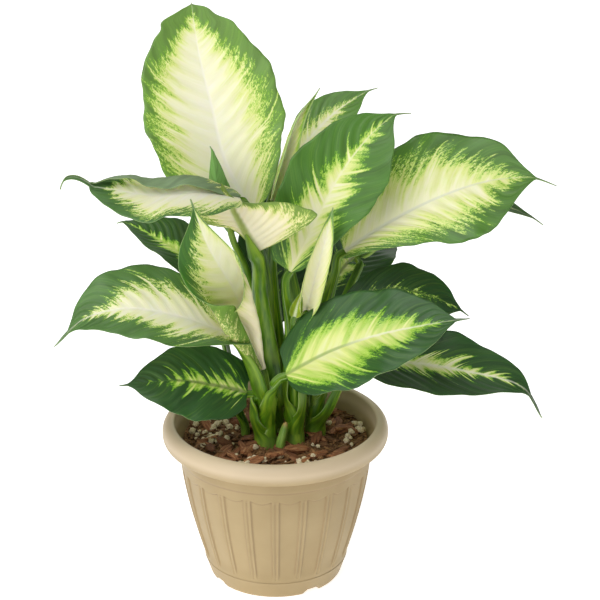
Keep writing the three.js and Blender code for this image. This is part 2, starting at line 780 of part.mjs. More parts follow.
function stemHole([x, y], radius) {
  const bottom = SOIL.top - SOIL.holeDepth - CLEARANCE;
  const length = SOIL.holeDepth + SOIL.holeRise + CLEARANCE;
  const hole = new THREE.CylinderGeometry(radius + SOIL.holeGap, radius + SOIL.holeGap, length, 12);
  hole.rotateX(PI / 2);
  hole.translate(x, y, bottom + length / 2);
  return solidFrom(hole);
}

// Scraps that the holes cut off are dropped
function largestPiece(solid) {
  const pieces = solid.decompose();
  return pieces.reduce((best, piece) => (piece.volume() > best.volume() ? piece : best));
}

function soilSolid() {
  const random = seededRandom(SOIL.seed);
  let solid = soilBody();
  for (let i = 0; i < SOIL.chips; i += 1) {
    solid = solid.add(barkChip(random));
  }
  for (let i = 0; i < SOIL.beads; i += 1) {
    solid = solid.add(perliteBead(random));
  }
  for (const shoot of SHOOTS) {
    solid = solid.subtract(stemHole(shoot.cane, shoot.radius));
  }
  solid = solid.subtract(stemHole(SPROUT.foot, SPROUT.radius));
  return largestPiece(solid);
}

// Assembly

const plant = new THREE.Group();

plant.add(named('pot', geometryFrom(potSolid()), COLOURS.pot, 0.55));
plant.add(named('potting_mix', geometryFrom(soilSolid()), COLOURS.soil, 0.95));

for (const leaf of LEAVES) {
  plant.add(named(leaf.name, bladeGeometry(leaf), COLOURS[leaf.kind], 0.45));
}

for (const shoot of SHOOTS) {
  plant.add(named(shoot.name, geometryFrom(shootSolid(shoot)), COLOURS.stem, 0.5));
}
plant.add(named('sprout', geometryFrom(sproutSolid()), COLOURS.sprout, 0.5));

// The model's origin is on the floor, under the middle of its outline seen from above
const outline = new THREE.Box3().setFromObject(plant);
const middle = outline.getCenter(new THREE.Vector3());
plant.position.set(-middle.x, -middle.y, 0);

export default plant;
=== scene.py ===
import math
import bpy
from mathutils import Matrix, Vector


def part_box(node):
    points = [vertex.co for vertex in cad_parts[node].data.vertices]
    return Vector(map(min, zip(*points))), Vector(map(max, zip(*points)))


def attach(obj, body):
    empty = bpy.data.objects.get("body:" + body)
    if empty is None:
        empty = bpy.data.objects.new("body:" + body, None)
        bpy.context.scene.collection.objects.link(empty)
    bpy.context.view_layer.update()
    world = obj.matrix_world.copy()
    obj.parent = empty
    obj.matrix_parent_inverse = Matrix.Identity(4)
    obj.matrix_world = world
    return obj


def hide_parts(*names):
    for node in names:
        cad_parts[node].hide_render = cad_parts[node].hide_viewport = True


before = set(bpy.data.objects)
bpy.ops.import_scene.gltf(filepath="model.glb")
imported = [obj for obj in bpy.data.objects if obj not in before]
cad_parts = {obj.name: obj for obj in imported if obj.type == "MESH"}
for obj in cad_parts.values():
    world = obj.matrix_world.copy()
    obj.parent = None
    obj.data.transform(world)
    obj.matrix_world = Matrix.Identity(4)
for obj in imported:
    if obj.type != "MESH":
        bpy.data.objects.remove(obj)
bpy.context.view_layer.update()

# A potted dieffenbachia, dressed: fine leaf blades with procedural variegation, channelled petioles
# with clasping sheaths, a ribbed plastic pot and a bark mix with perlite. Lengths are in millimetres
# until a mesh is made, and x and y are counted from the pot's axis.
from types import SimpleNamespace

import bpy
import numpy as np

MM = 0.001
pot_low, pot_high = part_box("pot")
POT_AXIS = np.array([(pot_low.x + pot_high.x) / 2, (pot_low.y + pot_high.y) / 2, 0])

# Driving dimensions

POT = SimpleNamespace(
    height=122, base_radius=48, neck_radius=70.5, neck_height=104, wall_bulge=1.55, wall=2.4,
    lip_radius=82.5, lip_bottom=107, lip_hem=4, lip_crown_rise=8, mouth_edge=1.8, mouth_radius=73.5,
    mouth_foot=(72.3, 108), foot_height=4.5, foot_wall=4, floor_top=7.5, ring_top=14, ring_step=0.35,
    panels=21, panel_turn=0.5, panel_bottom=17, panel_top=88, panel_arch=1.2, panel_sag=2.2,
    panel_sink=1.0, panel_ramp=7, band_top=96, band_step=0.7, rib_half_turn=2.05, rib_slope_turn=0.5,
    furrow=0.55, foot_gap_turn=33.5, foot_gap_half=7.5, foot_gap_top_half=4.5, foot_gap_top=4.2,
)
PANEL_PITCH = 360 / POT.panels
SOIL = SimpleNamespace(top=105, crown=3, rim_rise=2.2, bump=1.1, wall_gap=0.7, seed=11)
BLADE = SimpleNamespace(
    rows=113, half_columns=22, thickness=0.62, rim_thickness=0.34, tip_shrink=0.25, tip_start=0.93,
    wave_shift=0.3, rib_height=(2.0, 0.25), rib_half=(2.2, 0.6), side_veins=13, vein_lean=0.34,
    corrugation=0.45,
)
STEM = SimpleNamespace(
    sheath_span=(0.1, 0.75), blade_lead=6, foot_rise=6, gap=0.3, plump=1.32, wing=0.9, rib_end=0.3,
    smallest_cane=4,
)
LIGHTS = {
    "key": ((-0.6, -1.0, 2.2), 1.5, 27),
    "fill": ((-1.3, -1.4, 0.9), 1.4, 11),
    "back": ((0.3, 1.6, 1.5), 1.4, 8),
}
CAMERA = SimpleNamespace(
    distance=1500, rise=25.5, pitch=22.2, aim_x=18, aim_z=122, focal_pixels=2051, frame_pixels=600, sensor=36,
)

# Leaves
# Form: the spine's points, the half-widths left and right, which way the face looks at both ends, and,
# as in the solids, fold, curl, wave (height, count, phase), widest, blunt, taper and body_end. Pairs
# are for the left and right halves. Only here: the tip's point, lobes near it, the width at both ends
# (narrow_half), ears beside the stalk, a lift before the tip, the drip tip's hook, and how the curl
# starts late and stops early across the half (roll) and opens along it (unroll).
# Looks: cream says how far the pale middle reaches towards the margin, where it ends along the blade
# and how squarely; pale_shift and dark_base narrow or widen it. fingers, coarse, comb, lime and flecks
# are the reach and size of its teeth, how closely they follow the veins, and the fringe's width and
# flecks. green is the margin's colour, rib the midrib's kind and rib_half its half-width at both ends.
MOST_LEAVES = {
    "fold": (10, 6), "curl": [(4, 2), (4, 2)], "widest": (0.42, 0.42), "blunt": 0.85, "taper": (0, 0),
    "body_end": 0.95, "point": 0.45, "lobes": 0, "narrow_half": (2.3, 1.2), "ears": (0, 0),
    "lift": (0, 0, 0), "hook": (0, 0, 0), "roll": [(0, 1), (0, 1)], "unroll": None,
    "pale_shift": (0, 0), "dark_base": 0, "under_cream": None, "fingers": 0.5, "coarse": 1,
    "comb": 0.03, "lime": 0.9, "flecks": 0.8, "under_green": None, "rib": "white", "rib_half": (2.2, 0.4),
}


def new_leaf(kind, spine, half, face, **own):
    """A leaf's form and looks. What it doesn't state is as on most leaves."""
    return SimpleNamespace(kind=kind, spine=spine, half=half, face=face, **{**MOST_LEAVES, **own})


LEAVES = {
    "leaf_01_top": new_leaf(
        "pale", [(-17, 10, 279), (-35, 18, 315), (-44, 27, 351), (-53, 39, 387), (-58, 51, 419)],
        (49, 48), [(0.15, -0.95, 0.35), (0.1, -0.85, 0.5)], fold=(14, 6), curl=[(8, 4), (10, 8)],
        wave=(1.6, 3, 0.2), widest=(0.48, 0.48), blunt=0.5, body_end=0.985, point=0, lobes=0.14,
        cream=(0.88, 0.95, 6), pale_shift=(0.02, -0.09), fingers=0.34, lime=0.95, flecks=0.75,
        green=(112, 150, 68),
    ),
    "leaf_02_left_upper": new_leaf(
        "pale", [(-24, -13, 297), (-52, -31, 307), (-84, -34, 306), (-116, -31, 310), (-149, -27, 312)],
        (25, 26), [(0, -0.35, 1), (0, -0.4, 1)], curl=[(-20, -6), (215, 120)], wave=(2.2, 3, 0.1),
        widest=(0.46, 0.42), blunt=0.38, body_end=0.82, narrow_half=(2.3, 2.6), lift=(0, 0, 6),
        hook=(3, 0, -4), roll=[(0, 1), (0.3, 0.7)],
        cream=(0.86, 0.74, 6), under_cream=(0.62, 0.6, 2), lime=0.6, flecks=1.1, green=(84, 124, 64),
        under_green=(128, 152, 112),
    ),
    "leaf_03_reverse": new_leaf(
        "pale", [(-13, -8, 255), (-21, -12, 273), (-29, -17, 291), (-36, -22, 311)], (66, 34),
        [(0.3, 0.9, -0.15), (-0.2, 0.87, 0.17)], fold=(4, 4), curl=[(0, 0), (10, 40)], wave=(1.4, 2, 0.3),
        widest=(0.3, 0.7), blunt=1.35, taper=(0.95, 0),
        cream=(0.86, 0.9, 5), fingers=0.3, lime=0.6, green=(96, 128, 30), rib="olive",
        rib_half=(4.2, 1.6),
    ),
    "leaf_04_left_back": new_leaf(
        "feathered", [(-45, 18, 215), (-66, 27, 238), (-90, 37, 251), (-114, 48, 259)], (15, 24),
        [(0.2, -0.5, 0.85), (0, -0.3, 0.95)], fold=(12, 8), curl=[(6, 4), (6, 4)], wave=(1.2, 2, 0.4),
        hook=(-1, 0, -3),
        cream=(0.36, 0.9, 1.6), lime=1.2, flecks=0.3, green=(42, 84, 20), rib="lime",
    ),
    "leaf_05_unrolling": new_leaf(
        "pale", [(-9, -8, 166), (-17, -19, 199), (-28, -33, 236), (-45, -48, 275), (-55, -62, 313)],
        (41, 30), [(0.2, -0.95, 0.3), (0.3, -0.95, 0.3)], fold=(14, 12), curl=[(190, 5), (210, 68)],
        wave=(1.2, 2.5, 0.6), widest=(0.52, 0.5), roll=[(0.42, 0.78), (0.2, 0.55)],
        unroll=[(0.4, 0.8), (0.25, 0.75)],
        cream=(0.74, 0.92, 6), pale_shift=(0, 0.45), under_cream=(0.82, 0.8, 3), fingers=0.4, lime=1.3,
        flecks=1.6, green=(62, 118, 30), under_green=(112, 152, 56),
    ),
    "leaf_06_left": new_leaf(
        "feathered",
        [(-36, -22, 200), (-66, -33, 216), (-101, -40, 225), (-131, -44, 219), (-152, -46, 200)],
        (27, 32), [(0.1, -0.6, 0.8), (-0.3, -0.5, 0.8)], fold=(14, 8), curl=[(75, -4), (8, 4)],
        wave=(1.8, 3, 0.1), widest=(0.36, 0.42), body_end=0.88, ears=(26, 3), hook=(-1, 0, -1),
        unroll=[(0.02, 0.3), (0, 1)],
        cream=(0.7, 0.76, 2.2), coarse=0.75, lime=0.35, green=(88, 128, 64),
    ),
    "leaf_07_lower_left": new_leaf(
        "dark", [(-20, -18, 151), (-42, -28, 161), (-66, -35, 168), (-88, -40, 169), (-106, -43, 168)],
        (28, 26), [(0.1, -0.7, 0.7), (0, -0.6, 0.8)], curl=[(-14, -6), (6, 4)], wave=(1.2, 2.5, 0.5),
        widest=(0.4, 0.34), ears=(4, 9), hook=(-3, 0, 0),
        cream=(0.34, 0.58, 1.7), fingers=0.7, comb=0.07, lime=2, flecks=0.3, green=(46, 86, 36),
        rib="green",
    ),
    "leaf_08_tip": new_leaf(
        "dark", [(-30, -5, 268), (-38, -7, 298), (-43, -6, 332)], (8, 8),
        [(0.1, 0.95, -0.2), (0.1, 0.95, -0.2)], fold=(10, 20), curl=[(30, 60), (30, 60)],
        wave=(0.4, 1, 0), widest=(0.45, 0.45), hook=(-1, 0, 0),
        cream=(-0.6, 9, 1), fingers=0.1, lime=0.5, green=(84, 140, 50), rib="green",
    ),
    "leaf_09_centre": new_leaf(
        "feathered", [(11, -2, 238), (30, 4, 276), (46, 10, 306), (66, 18, 331), (88, 26, 349)], (33, 32),
        [(0.1, -0.9, 0.4), (-0.1, -0.8, 0.6)], fold=(12, 6), curl=[(4, 2), (6, 4)], wave=(1.6, 2.5, 0.2),
        widest=(0.4, 0.54), blunt=0.7, ears=(5, 3), hook=(8, 0, -3),
        cream=(0.74, 0.93, 1.05), dark_base=0.22, fingers=0.6, coarse=0.6, lime=1.3, flecks=0.5,
        green=(78, 124, 44), rib="cream", rib_half=(1.5, 0.4),
    ),
    "leaf_10_right": new_leaf(
        "pale", [(50, 12, 248), (80, 17, 267), (115, 20, 285), (152, 20, 298), (190, 15, 303)], (46, 42),
        [(-0.1, -0.8, 0.6), (0, -0.6, 0.8)], curl=[(6, 4), (-10, -4)], wave=(2.0, 3, 0.7),
        widest=(0.5, 0.66), blunt=0.62, ears=(4, 10), hook=(9, 0, -7),
        cream=(0.76, 0.92, 4), lime=1.5, flecks=1.1, green=(84, 128, 48), rib="grey", rib_half=(2.0, 0.5),
    ),
    "leaf_11_back_upper": new_leaf(
        "feathered", [(5, 40, 290), (22, 50, 316), (44, 62, 336), (70, 72, 351)], (17, 19),
        [(-0.1, -0.7, 0.7), (0, -0.5, 0.85)], fold=(12, 6), wave=(1.2, 2, 0.2), widest=(0.55, 0.55),
        hook=(4, 0, 0),
        cream=(0.6, 0.9, 2), fingers=0.45, lime=0.6, green=(96, 140, 58),
    ),
    "leaf_12_rolled": new_leaf(
        "pale", [(-2, 19, 284), (6, 23, 312), (16, 27, 340), (31, 31, 361)], (11, 11),
        [(0.3, -0.9, 0.2), (0.3, -0.9, 0.3)], fold=(35, 35), curl=[(75, 75), (55, 55)], wave=(0, 2, 0),
        widest=(0.35, 0.35), hook=(1, 0, 2),
        cream=(0.9, 0.95, 4), fingers=0.25, lime=1.0, flecks=0.4, green=(168, 194, 118),
    ),
    "leaf_13_folded": new_leaf(
        "pale", [(23, -3, 209), (29, -6, 236), (36, -8, 264), (41, -8, 288)], (12, 10),
        [(-0.2, -0.95, 0.2), (-0.2, -0.95, 0.3)], fold=(40, 20), curl=[(90, 60), (30, 30)],
        wave=(1.0, 2, 0.2), widest=(0.27, 0.3), narrow_half=(8, 1.2),
        cream=(1.1, 0.92, 9), fingers=0.2, lime=1.2, green=(128, 168, 92),
    ),
    "leaf_14_front_right": new_leaf(
        "feathered", [(8, -24, 168), (40, -33, 190), (72, -40, 205), (104, -46, 215), (133, -50, 222)],
        (35, 33), [(-0.1, -0.65, 0.75), (0, -0.55, 0.8)], curl=[(4, 2), (-12, -6)], wave=(1.8, 3, 0.4),
        widest=(0.38, 0.38), blunt=0.6, body_end=0.93, ears=(5, 0), hook=(2, 0, 0),
        cream=(0.64, 0.86, 2.4), pale_shift=(-0.02, 0.08), dark_base=0.3, coarse=0.62, lime=2.5,
        flecks=0.5, green=(50, 92, 38), rib="striped", rib_half=(1.9, 0.4),
    ),
    "leaf_15_right_middle": new_leaf(
        "dark", [(50, 13, 210), (78, 17, 217), (108, 17, 213), (138, 14, 200)], (19, 34),
        [(0, -0.6, 0.8), (0.2, -0.5, 0.8)], wave=(1.2, 2.5, 0.1), widest=(0.55, 0.55), blunt=0.7,
        hook=(2, 0, -3),
        cream=(-0.04, 0.8, 2), fingers=0.4, green=(34, 72, 28), rib="green",
    ),
    "leaf_16_back_right": new_leaf(
        "dark", [(36, 44, 203), (54, 60, 221), (72, 80, 228), (90, 102, 222)], (28, 30),
        [(0, -0.4, 0.9), (0.3, 0.2, 0.9)], wave=(1.4, 2.5, 0.6), ears=(20, 4), hook=(0, 2, -3),
        cream=(0.26, 0.8, 2), fingers=0.55, flecks=0.5, green=(44, 84, 34), rib="green",
    ),
    "leaf_17_right_lower": new_leaf(
        "dark", [(61, -4, 170), (98, -9, 170), (138, -13, 165), (176, -16, 155), (193, -14, 129)],
        (27, 27), [(0, -0.5, 0.85), (0.35, -0.5, 0.8)], fold=(12, 6), wave=(1.4, 2.5, 0.3),
        widest=(0.38, 0.32), body_end=0.83,
        cream=(0.3, 0.74, 2.2), lime=0.5, flecks=0.3, green=(46, 84, 36),
    ),
    "leaf_18_back_right_upper": new_leaf(
        "feathered", [(66, 34, 240), (104, 46, 262), (150, 52, 272), (194, 50, 257)], (20, 20),
        [(0, -0.3, 0.95), (0.2, -0.2, 0.95)], wave=(1.4, 2.5, 0.8), hook=(1, 0, -3),
        cream=(0.5, 0.8, 2), fingers=0.45, lime=0.8, green=(66, 106, 40),
    ),
    "leaf_19_spear": new_leaf(
        "pale", [(14, -8, 206), (16, -9, 215), (19, -9, 225)], (5, 5), [(0, -1, 0.2), (0, -1, 0.2)],
        fold=(25, 25), curl=[(45, 45), (45, 45)], wave=(0, 2, 0), widest=(0.4, 0.4),
        cream=(0.2, 0.9, 2), fingers=0.2, lime=1.6, green=(160, 184, 44),
    ),
    "leaf_20_back_middle": new_leaf(
        "dark", [(-1, 42, 178), (-5, 50, 214), (-8, 57, 248), (-12, 62, 282)], (22, 42),
        [(0.05, -0.95, 0.25), (0.1, -0.95, 0.25)], fold=(12, 6), curl=[(8, 4), (8, 4)],
        wave=(1.2, 2.5, 0.4), widest=(0.45, 0.45),
        cream=(-0.1, 0.8, 2), lime=0.8, green=(34, 66, 28), rib="green",
    ),
}

# Shoots, as in the solids: cane's middle and radius, then each petiole's leaf, start, via points and radii
SHOOTS = {
    "shoot_a_front_left": SimpleNamespace(cane=(-7, -10), radius=8, petioles=[
        ("leaf_06_left", (-2, 0), [(-11, -13, 148), (-19, -18, 178), (-28, -20, 195)], (5.6, 3.2)),
        ("leaf_07_lower_left", (-3, -1), [(-15, -14, 128), (-15, -16, 144)], (4.4, 2.2)),
        ("leaf_05_unrolling", (0, 3), [(-6, -7, 135)], (4.6, 2.2)),
        ("leaf_14_front_right", (3, -2), [(-3, -16, 128), (-3, -21, 150)], (4.8, 2.6)),
    ]),
    "shoot_b_back_left": SimpleNamespace(cane=(-1, 8), radius=7.5, petioles=[
        ("leaf_03_reverse", (-1, -2), [(-4, 4, 150), (-8, 1, 190), (-11, -3, 225)], (6, 3.8)),
        ("leaf_02_left_upper", (-1, -1), [(-6, 4, 160), (-10, 4, 210), (-13, 1, 250), (-15, -3, 280)],
         (4.6, 2.2)),
        ("leaf_01_top", (-1, 2), [(-4, 10, 170), (-7, 12, 225), (-11, 11, 258)], (5, 2.8)),
        ("leaf_08_tip", (-2, 0), [(-9, 6, 180), (-20, 5, 235)], (4, 1.8)),
        ("leaf_12_rolled", (1, 3), [(1, 14, 180), (-2, 17, 240)], (4.4, 2)),
        ("leaf_20_back_middle", (0, 4), [(-2, 22, 132), (-3, 36, 158)], (3.8, 2)),
    ]),
    "shoot_c_middle": SimpleNamespace(cane=(14, -6), radius=7, petioles=[
        ("leaf_09_centre", (-2, 0), [(10, -5, 150), (10, -5, 200)], (4.6, 2.4)),
        ("leaf_13_folded", (2, -1), [(19, -6, 150), (21, -5, 188)], (4.4, 2.2)),
        ("leaf_19_spear", (0, 1), [(14, -7, 150), (14, -8, 185)], (3.6, 1.8)),
    ]),
    "shoot_d_right": SimpleNamespace(cane=(29, 7), radius=7.5, petioles=[
        ("leaf_10_right", (-1, -1), [(30, 8, 150), (36, 10, 200), (43, 11, 232)], (4.8, 2.6)),
        ("leaf_11_back_upper", (-3, 2), [(20, 20, 170), (8, 32, 240), (3, 38, 275)], (4.4, 2.2)),
        ("leaf_15_right_middle", (2, 0), [(35, 9, 150), (43, 11, 197)], (4.2, 2.2)),
        ("leaf_16_back_right", (0, 3), [(30, 22, 155), (31, 35, 188)], (4.2, 2.2)),
        ("leaf_17_right_lower", (1, -3), [(38, -1, 128), (48, -3, 152), (54, -4, 167)], (3.6, 2)),
        ("leaf_18_back_right_upper", (2, 2), [(38, 20, 160), (52, 32, 205), (61, 34, 229)], (4.2, 2.2)),
    ]),
    "shoot_e_thin": SimpleNamespace(cane=(-22, 2), radius=2.6, petioles=[
        ("leaf_04_left_back", (0, 0), [(-27, 2, 124), (-34, 8, 165), (-41, 15, 200)], (2.6, 2)),
    ]),
}
SPROUT = SimpleNamespace(foot=(4, -18), radius=3.4, rise=(-30, -10, 4), via=[(6, -17, 118), (8, -16, 127)])


# Number helpers

def lerp(a, b, t):
    return a + (b - a) * t


def smoothstep(x, low, high):
    t = np.clip((x - low) / (high - low), 0, 1)
    return t * t * (3 - 2 * t)


def window(x, low, full, hold, high):
    """Rises from low to full, and falls again from hold to high."""
    return smoothstep(x, low, full) * (1 - smoothstep(x, hold, high))


def bell(x, middle, width):
    return np.exp(-(((x - middle) / width) ** 2))


def unit(v):
    return v / np.maximum(np.linalg.norm(v, axis=-1, keepdims=True), 1e-12)


def square_to(direction, v):
    """The part of v that is square to a direction, as a unit vector."""
    return unit(v - (v * direction).sum(-1, keepdims=True) * direction)


def circle(sides):
    """Angles evenly round a full turn."""
    return np.linspace(0, 2 * np.pi, sides, endpoint=False)


def run_along(path):
    """How far each point of a path is from its start."""
    return np.append(0, np.cumsum(np.linalg.norm(np.diff(path, axis=0), axis=1)))


def catmull(points, u, centripetal=False):
    """Points on a Catmull-Rom spline through the given points, at shares u of its spans."""
    p = np.array(points, float)
    p = np.vstack([2 * p[0] - p[1], p, 2 * p[-1] - p[-2]])
    spans = len(p) - 3
    place = np.clip(np.asarray(u, float), 0, 1) * spans
    i = np.minimum(place.astype(int), spans - 1)
    t = (place - i)[:, None]
    p0, p1, p2, p3 = p[i], p[i + 1], p[i + 2], p[i + 3]
    if centripetal:
        d0, d1, d2 = [np.maximum(np.sqrt(np.linalg.norm(b - a, axis=1, keepdims=True)), 1e-4)
                      for a, b in ((p0, p1), (p1, p2), (p2, p3))]
        m1 = ((p1 - p0) / d0 - (p2 - p0) / (d0 + d1) + (p2 - p1) / d1) * d1
        m2 = ((p2 - p1) / d1 - (p3 - p1) / (d1 + d2) + (p3 - p2) / d2) * d1
    else:
        m1, m2 = (p2 - p0) / 2, (p3 - p1) / 2
    return ((2 * t**3 - 3 * t**2 + 1) * p1 + (t**3 - 2 * t**2 + t) * m1
            + (3 * t**2 - 2 * t**3) * p2 + (t**3 - t**2) * m2)


def even_path(points, count):
    """The spline resampled at even lengths."""
    fine = catmull(points, np.linspace(0, 1, 600), centripetal=True)
    run = run_along(fine)
    at = np.linspace(0, run[-1], count)
    return np.column_stack([np.interp(at, run, fine[:, k]) for k in range(3)])


# Mesh helpers

def grid_faces(rows, columns, first=0, closed=False, flip=False):
    """Quads of a grid whose vertices are numbered row by row."""
    i, j = np.meshgrid(np.arange(rows - 1), np.arange(columns if closed else columns - 1), indexing="ij")
    i, j = i.ravel() * columns, j.ravel()
    k = (j + 1) % columns
    quads = np.stack([i + j, i + k, i + columns + k, i + columns + j], axis=1)
    return (quads[:, ::-1] if flip else quads) + first


def tube(rings, flip=False):
    """Points and faces of a closed tube through rings with as many points each."""
    rows, columns = len(rings), len(rings[0])
    near = np.arange(columns)[::-1]
    far = np.arange(columns) + (rows - 1) * columns
    caps = [near[::-1], far[::-1]] if flip else [near, far]
    return np.concatenate(rings), [*grid_faces(rows, columns, closed=True, flip=flip), *caps]


def level_ring(radius, height, turn):
    """Points round the axis at one height. The radius is one number, or one for each angle."""
    return np.stack([radius * np.cos(turn), radius * np.sin(turn), np.full(len(turn), height)], axis=1)


def joined(meshes):
    """Several meshes as one. Each holds its points, its faces, and rows of shader values for the points."""
    first = np.cumsum([0] + [len(mesh[0]) for mesh in meshes])
    faces = [face + start for start, mesh in zip(first, meshes) for face in mesh[1]]
    points, _, *values = zip(*meshes)
    return [np.vstack(points), faces, *map(np.vstack, values)]


def make_piece(name, points, faces, materials, values=None, smooth=True, face_slots=None, uv=None):
    """A mesh object in the shared frame from points in millimetres about the pot's axis."""
    mesh = bpy.data.meshes.new(name)
    place = (np.asarray(points, float) * MM + POT_AXIS).tolist()
    mesh.from_pydata(place, [], [list(map(int, f)) for f in faces])
    for material in materials:
        mesh.materials.append(material)
    if face_slots is not None:
        mesh.polygons.foreach_set("material_index", np.asarray(face_slots, np.int32))
    mesh.polygons.foreach_set("use_smooth", np.full(len(mesh.polygons), smooth))
    for key, data in (values or {}).items():
        plain = np.ndim(data) == 1
        attribute = mesh.attributes.new(key, "FLOAT" if plain else "FLOAT_VECTOR", "POINT")
        attribute.data.foreach_set("value" if plain else "vector", np.asarray(data, np.float32).ravel())
    if uv is not None:
        layer = mesh.uv_layers.new(name="surface")
        corners = np.empty(len(mesh.loops), np.int32)
        mesh.loops.foreach_get("vertex_index", corners)
        layer.data.foreach_set("uv", np.asarray(uv, np.float32)[corners].ravel())
    mesh.validate()
    mesh.update()
    piece = bpy.data.objects.new(name, mesh)
    bpy.context.scene.collection.objects.link(piece)
    return piece


def place_piece(piece, slot, *nodes):
    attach(piece, "root")
    if nodes:
        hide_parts(*nodes)


# Colours and materials

def colour(r, g, b):
    """A colour as seen on a screen, from 0 to 255, as the shader's linear one."""
    shares = [c / 255 for c in (r, g, b)]
    return (*[c / 12.92 if c <= 0.04045 else ((c + 0.055) / 1.055) ** 2.4 for c in shares], 1.0)


def mixed(a, b, share=0.5):
    """A plain colour between two others."""
    return tuple(lerp(x, y, share) for x, y in zip(a, b))


class Surface:
    """A material with its Principled shader, and short calls for the nodes that feed it."""

    def __init__(self, name, roughness, specular=0.5):
        self.material = bpy.data.materials.new(name)
        self.material.use_nodes = True
        self.tree = self.material.node_tree
        self.shader = self.tree.nodes["Principled BSDF"]
        self.set("Roughness", roughness)
        self.set("Specular IOR Level", specular)

    def put(self, socket, value):
        """Links a socket, or sets a plain value."""
        if isinstance(value, bpy.types.NodeSocket):
            self.tree.links.new(value, socket)
        else:
            socket.default_value = value

    def set(self, name, value):
        self.put(self.shader.inputs[name], value)

    def node(self, kind, inputs, **settings):
        """A node with its settings made first, and then its inputs put."""
        node = self.tree.nodes.new("ShaderNode" + kind)
        for key, value in settings.items():
            setattr(node, key, value)
        for key, value in inputs.items():
            self.put(node.inputs[key], value)
        return node

    def calc(self, operation, *values):
        return self.node("Math", dict(enumerate(values)), operation=operation).outputs[0]

    def times(self, a, b):
        return self.calc("MULTIPLY", a, b)

    def swung(self, texture, size, value):
        """Adds a texture that swings about 0.5 to a value."""
        return self.calc("MULTIPLY_ADD", self.calc("SUBTRACT", texture, 0.5), size, value)

    def span(self, value, low, high, out_low=0.0, out_high=1.0, smooth=True):
        """Maps low to high onto out_low to out_high, and holds the ends."""
        inputs = {"Value": value, "From Min": low, "From Max": high, "To Min": out_low, "To Max": out_high}
        kind = "SMOOTHSTEP" if smooth else "LINEAR"
        return self.node("MapRange", inputs, interpolation_type=kind).outputs[0]

    def mix(self, share, a, b):
        return self.node("Mix", {0: share, 6: a, 7: b}, data_type="RGBA").outputs[2]

    def ramp(self, value, stops):
        node = self.node("ValToRGB", {0: value})
        elements = node.color_ramp.elements
        while len(elements) < len(stops):
            elements.new(0.5)
        for element, (position, shade) in zip(elements, stops):
            element.position = position
            element.color = shade
        return node.outputs[0]

    def tones(self, value, stops):
        """A ramp through screen colours, given by their places."""
        return self.ramp(value, [(position, colour(*tone)) for position, tone in stops.items()])

    def attribute(self, name, output="Vector"):
        return self.node("Attribute", {}, attribute_name=name).outputs[output]

    def place(self):
        return self.node("TexCoord", {}).outputs["Object"]

    def parts(self, vector):
        return self.node("SeparateXYZ", {0: vector}).outputs

    def stretched(self, vector, scale, shift=(0, 0, 0)):
        return self.node("Mapping", {"Vector": vector, "Scale": scale, "Location": shift}).outputs[0]

    def noise(self, vector, scale=1.0, detail=2.0, roughness=0.5):
        inputs = {"Vector": vector, "Scale": scale, "Detail": detail, "Roughness": roughness}
        return self.node("TexNoise", inputs).outputs["Fac"]

    def grain(self, name, scale, shift=(0, 0, 0), detail=2.0, roughness=0.5):
        """Noise over a mesh attribute that is stretched and moved first."""
        return self.noise(self.stretched(self.attribute(name), scale, shift), 1.0, detail, roughness)

    def bump(self, height, strength, distance):
        node = self.node("Bump", {"Height": height, "Strength": strength, "Distance": distance})
        self.set("Normal", node.outputs["Normal"])

    def translucent(self, weight, depth):
        """Lets light a little way in, green furthest."""
        self.set("Subsurface Weight", weight)
        self.set("Subsurface Radius", (0.6, 1.0, 0.25))
        self.set("Subsurface Scale", depth)


# Leaf blades
# u runs along the spine from 0 to 1, v across it from the left margin at -1 to the right one at 1,
# reach is v without its sign, and hand is 0 on the left half and 1 on the right

def width_share(leaf, u, hand):
    """The share of its greatest half-width that the left or right half has along the spine."""
    s = np.minimum(u / leaf.body_end, 1)
    power = math.log(0.5) / math.log(leaf.widest[hand] / leaf.body_end)
    arch = np.maximum(np.sin(np.pi * s**power), 0) ** leaf.blunt
    point = 1 - leaf.point * smoothstep(s, 0.86, 1)
    return arch * point * (1 - BLADE.tip_shrink * s**5) * (1 - s) ** leaf.taper[hand]


def spine_points(leaf, u):
    """The midrib, with its lift before the tip and its drip tip bent towards the hook."""
    bend = np.clip((u - BLADE.tip_start) / (1 - BLADE.tip_start), 0, 1)[:, None] ** 2
    lift = np.sin(np.pi * np.clip((u - 0.8) / 0.2, 0, 1))[:, None]
    return catmull(leaf.spine, u) + bend * leaf.hook + lift * leaf.lift


def blade_sheet(leaf, u, v):
    """The blade's middle surface as a grid of points, with its normals and half-widths."""
    step = 1e-3
    tangent = unit(catmull(leaf.spine, u + step) - catmull(leaf.spine, u - step))
    face = square_to(tangent, lerp(*np.array(leaf.face, float), u[:, None]))
    hand = (v > 0).astype(int)
    reach = np.abs(v)
    share = np.stack([width_share(leaf, u, k) for k in (0, 1)], axis=1)[:, hand]
    narrow = lerp(*leaf.narrow_half, u) * (1 - 0.85 * smoothstep(u, BLADE.tip_start, 1))
    width = share * np.array(leaf.half)[hand] * edge_wave(leaf, u, hand) + narrow[:, None]
    across, up = np.empty((2, *width.shape))
    for k in (0, 1):
        across[:, hand == k], up[:, hand == k] = half_section(leaf, u, k, reach[hand == k])
    across = across * width * np.where(hand, 1, -1)
    up = up * width + ripple(leaf, u, v) + corrugation(leaf, u, v)
    back = np.array(leaf.ears)[hand] * reach**2 * window(u, 0, 0.05, 0.06, 0.28)[:, None]
    grid = spine_points(leaf, u)[:, None]
    for direction, amount in ((np.cross(tangent, face), across), (face, up), (-tangent, back)):
        grid = grid + direction[:, None] * amount[:, :, None]
    return grid, unit(np.cross(np.gradient(grid, axis=1), np.gradient(grid, axis=0))), width


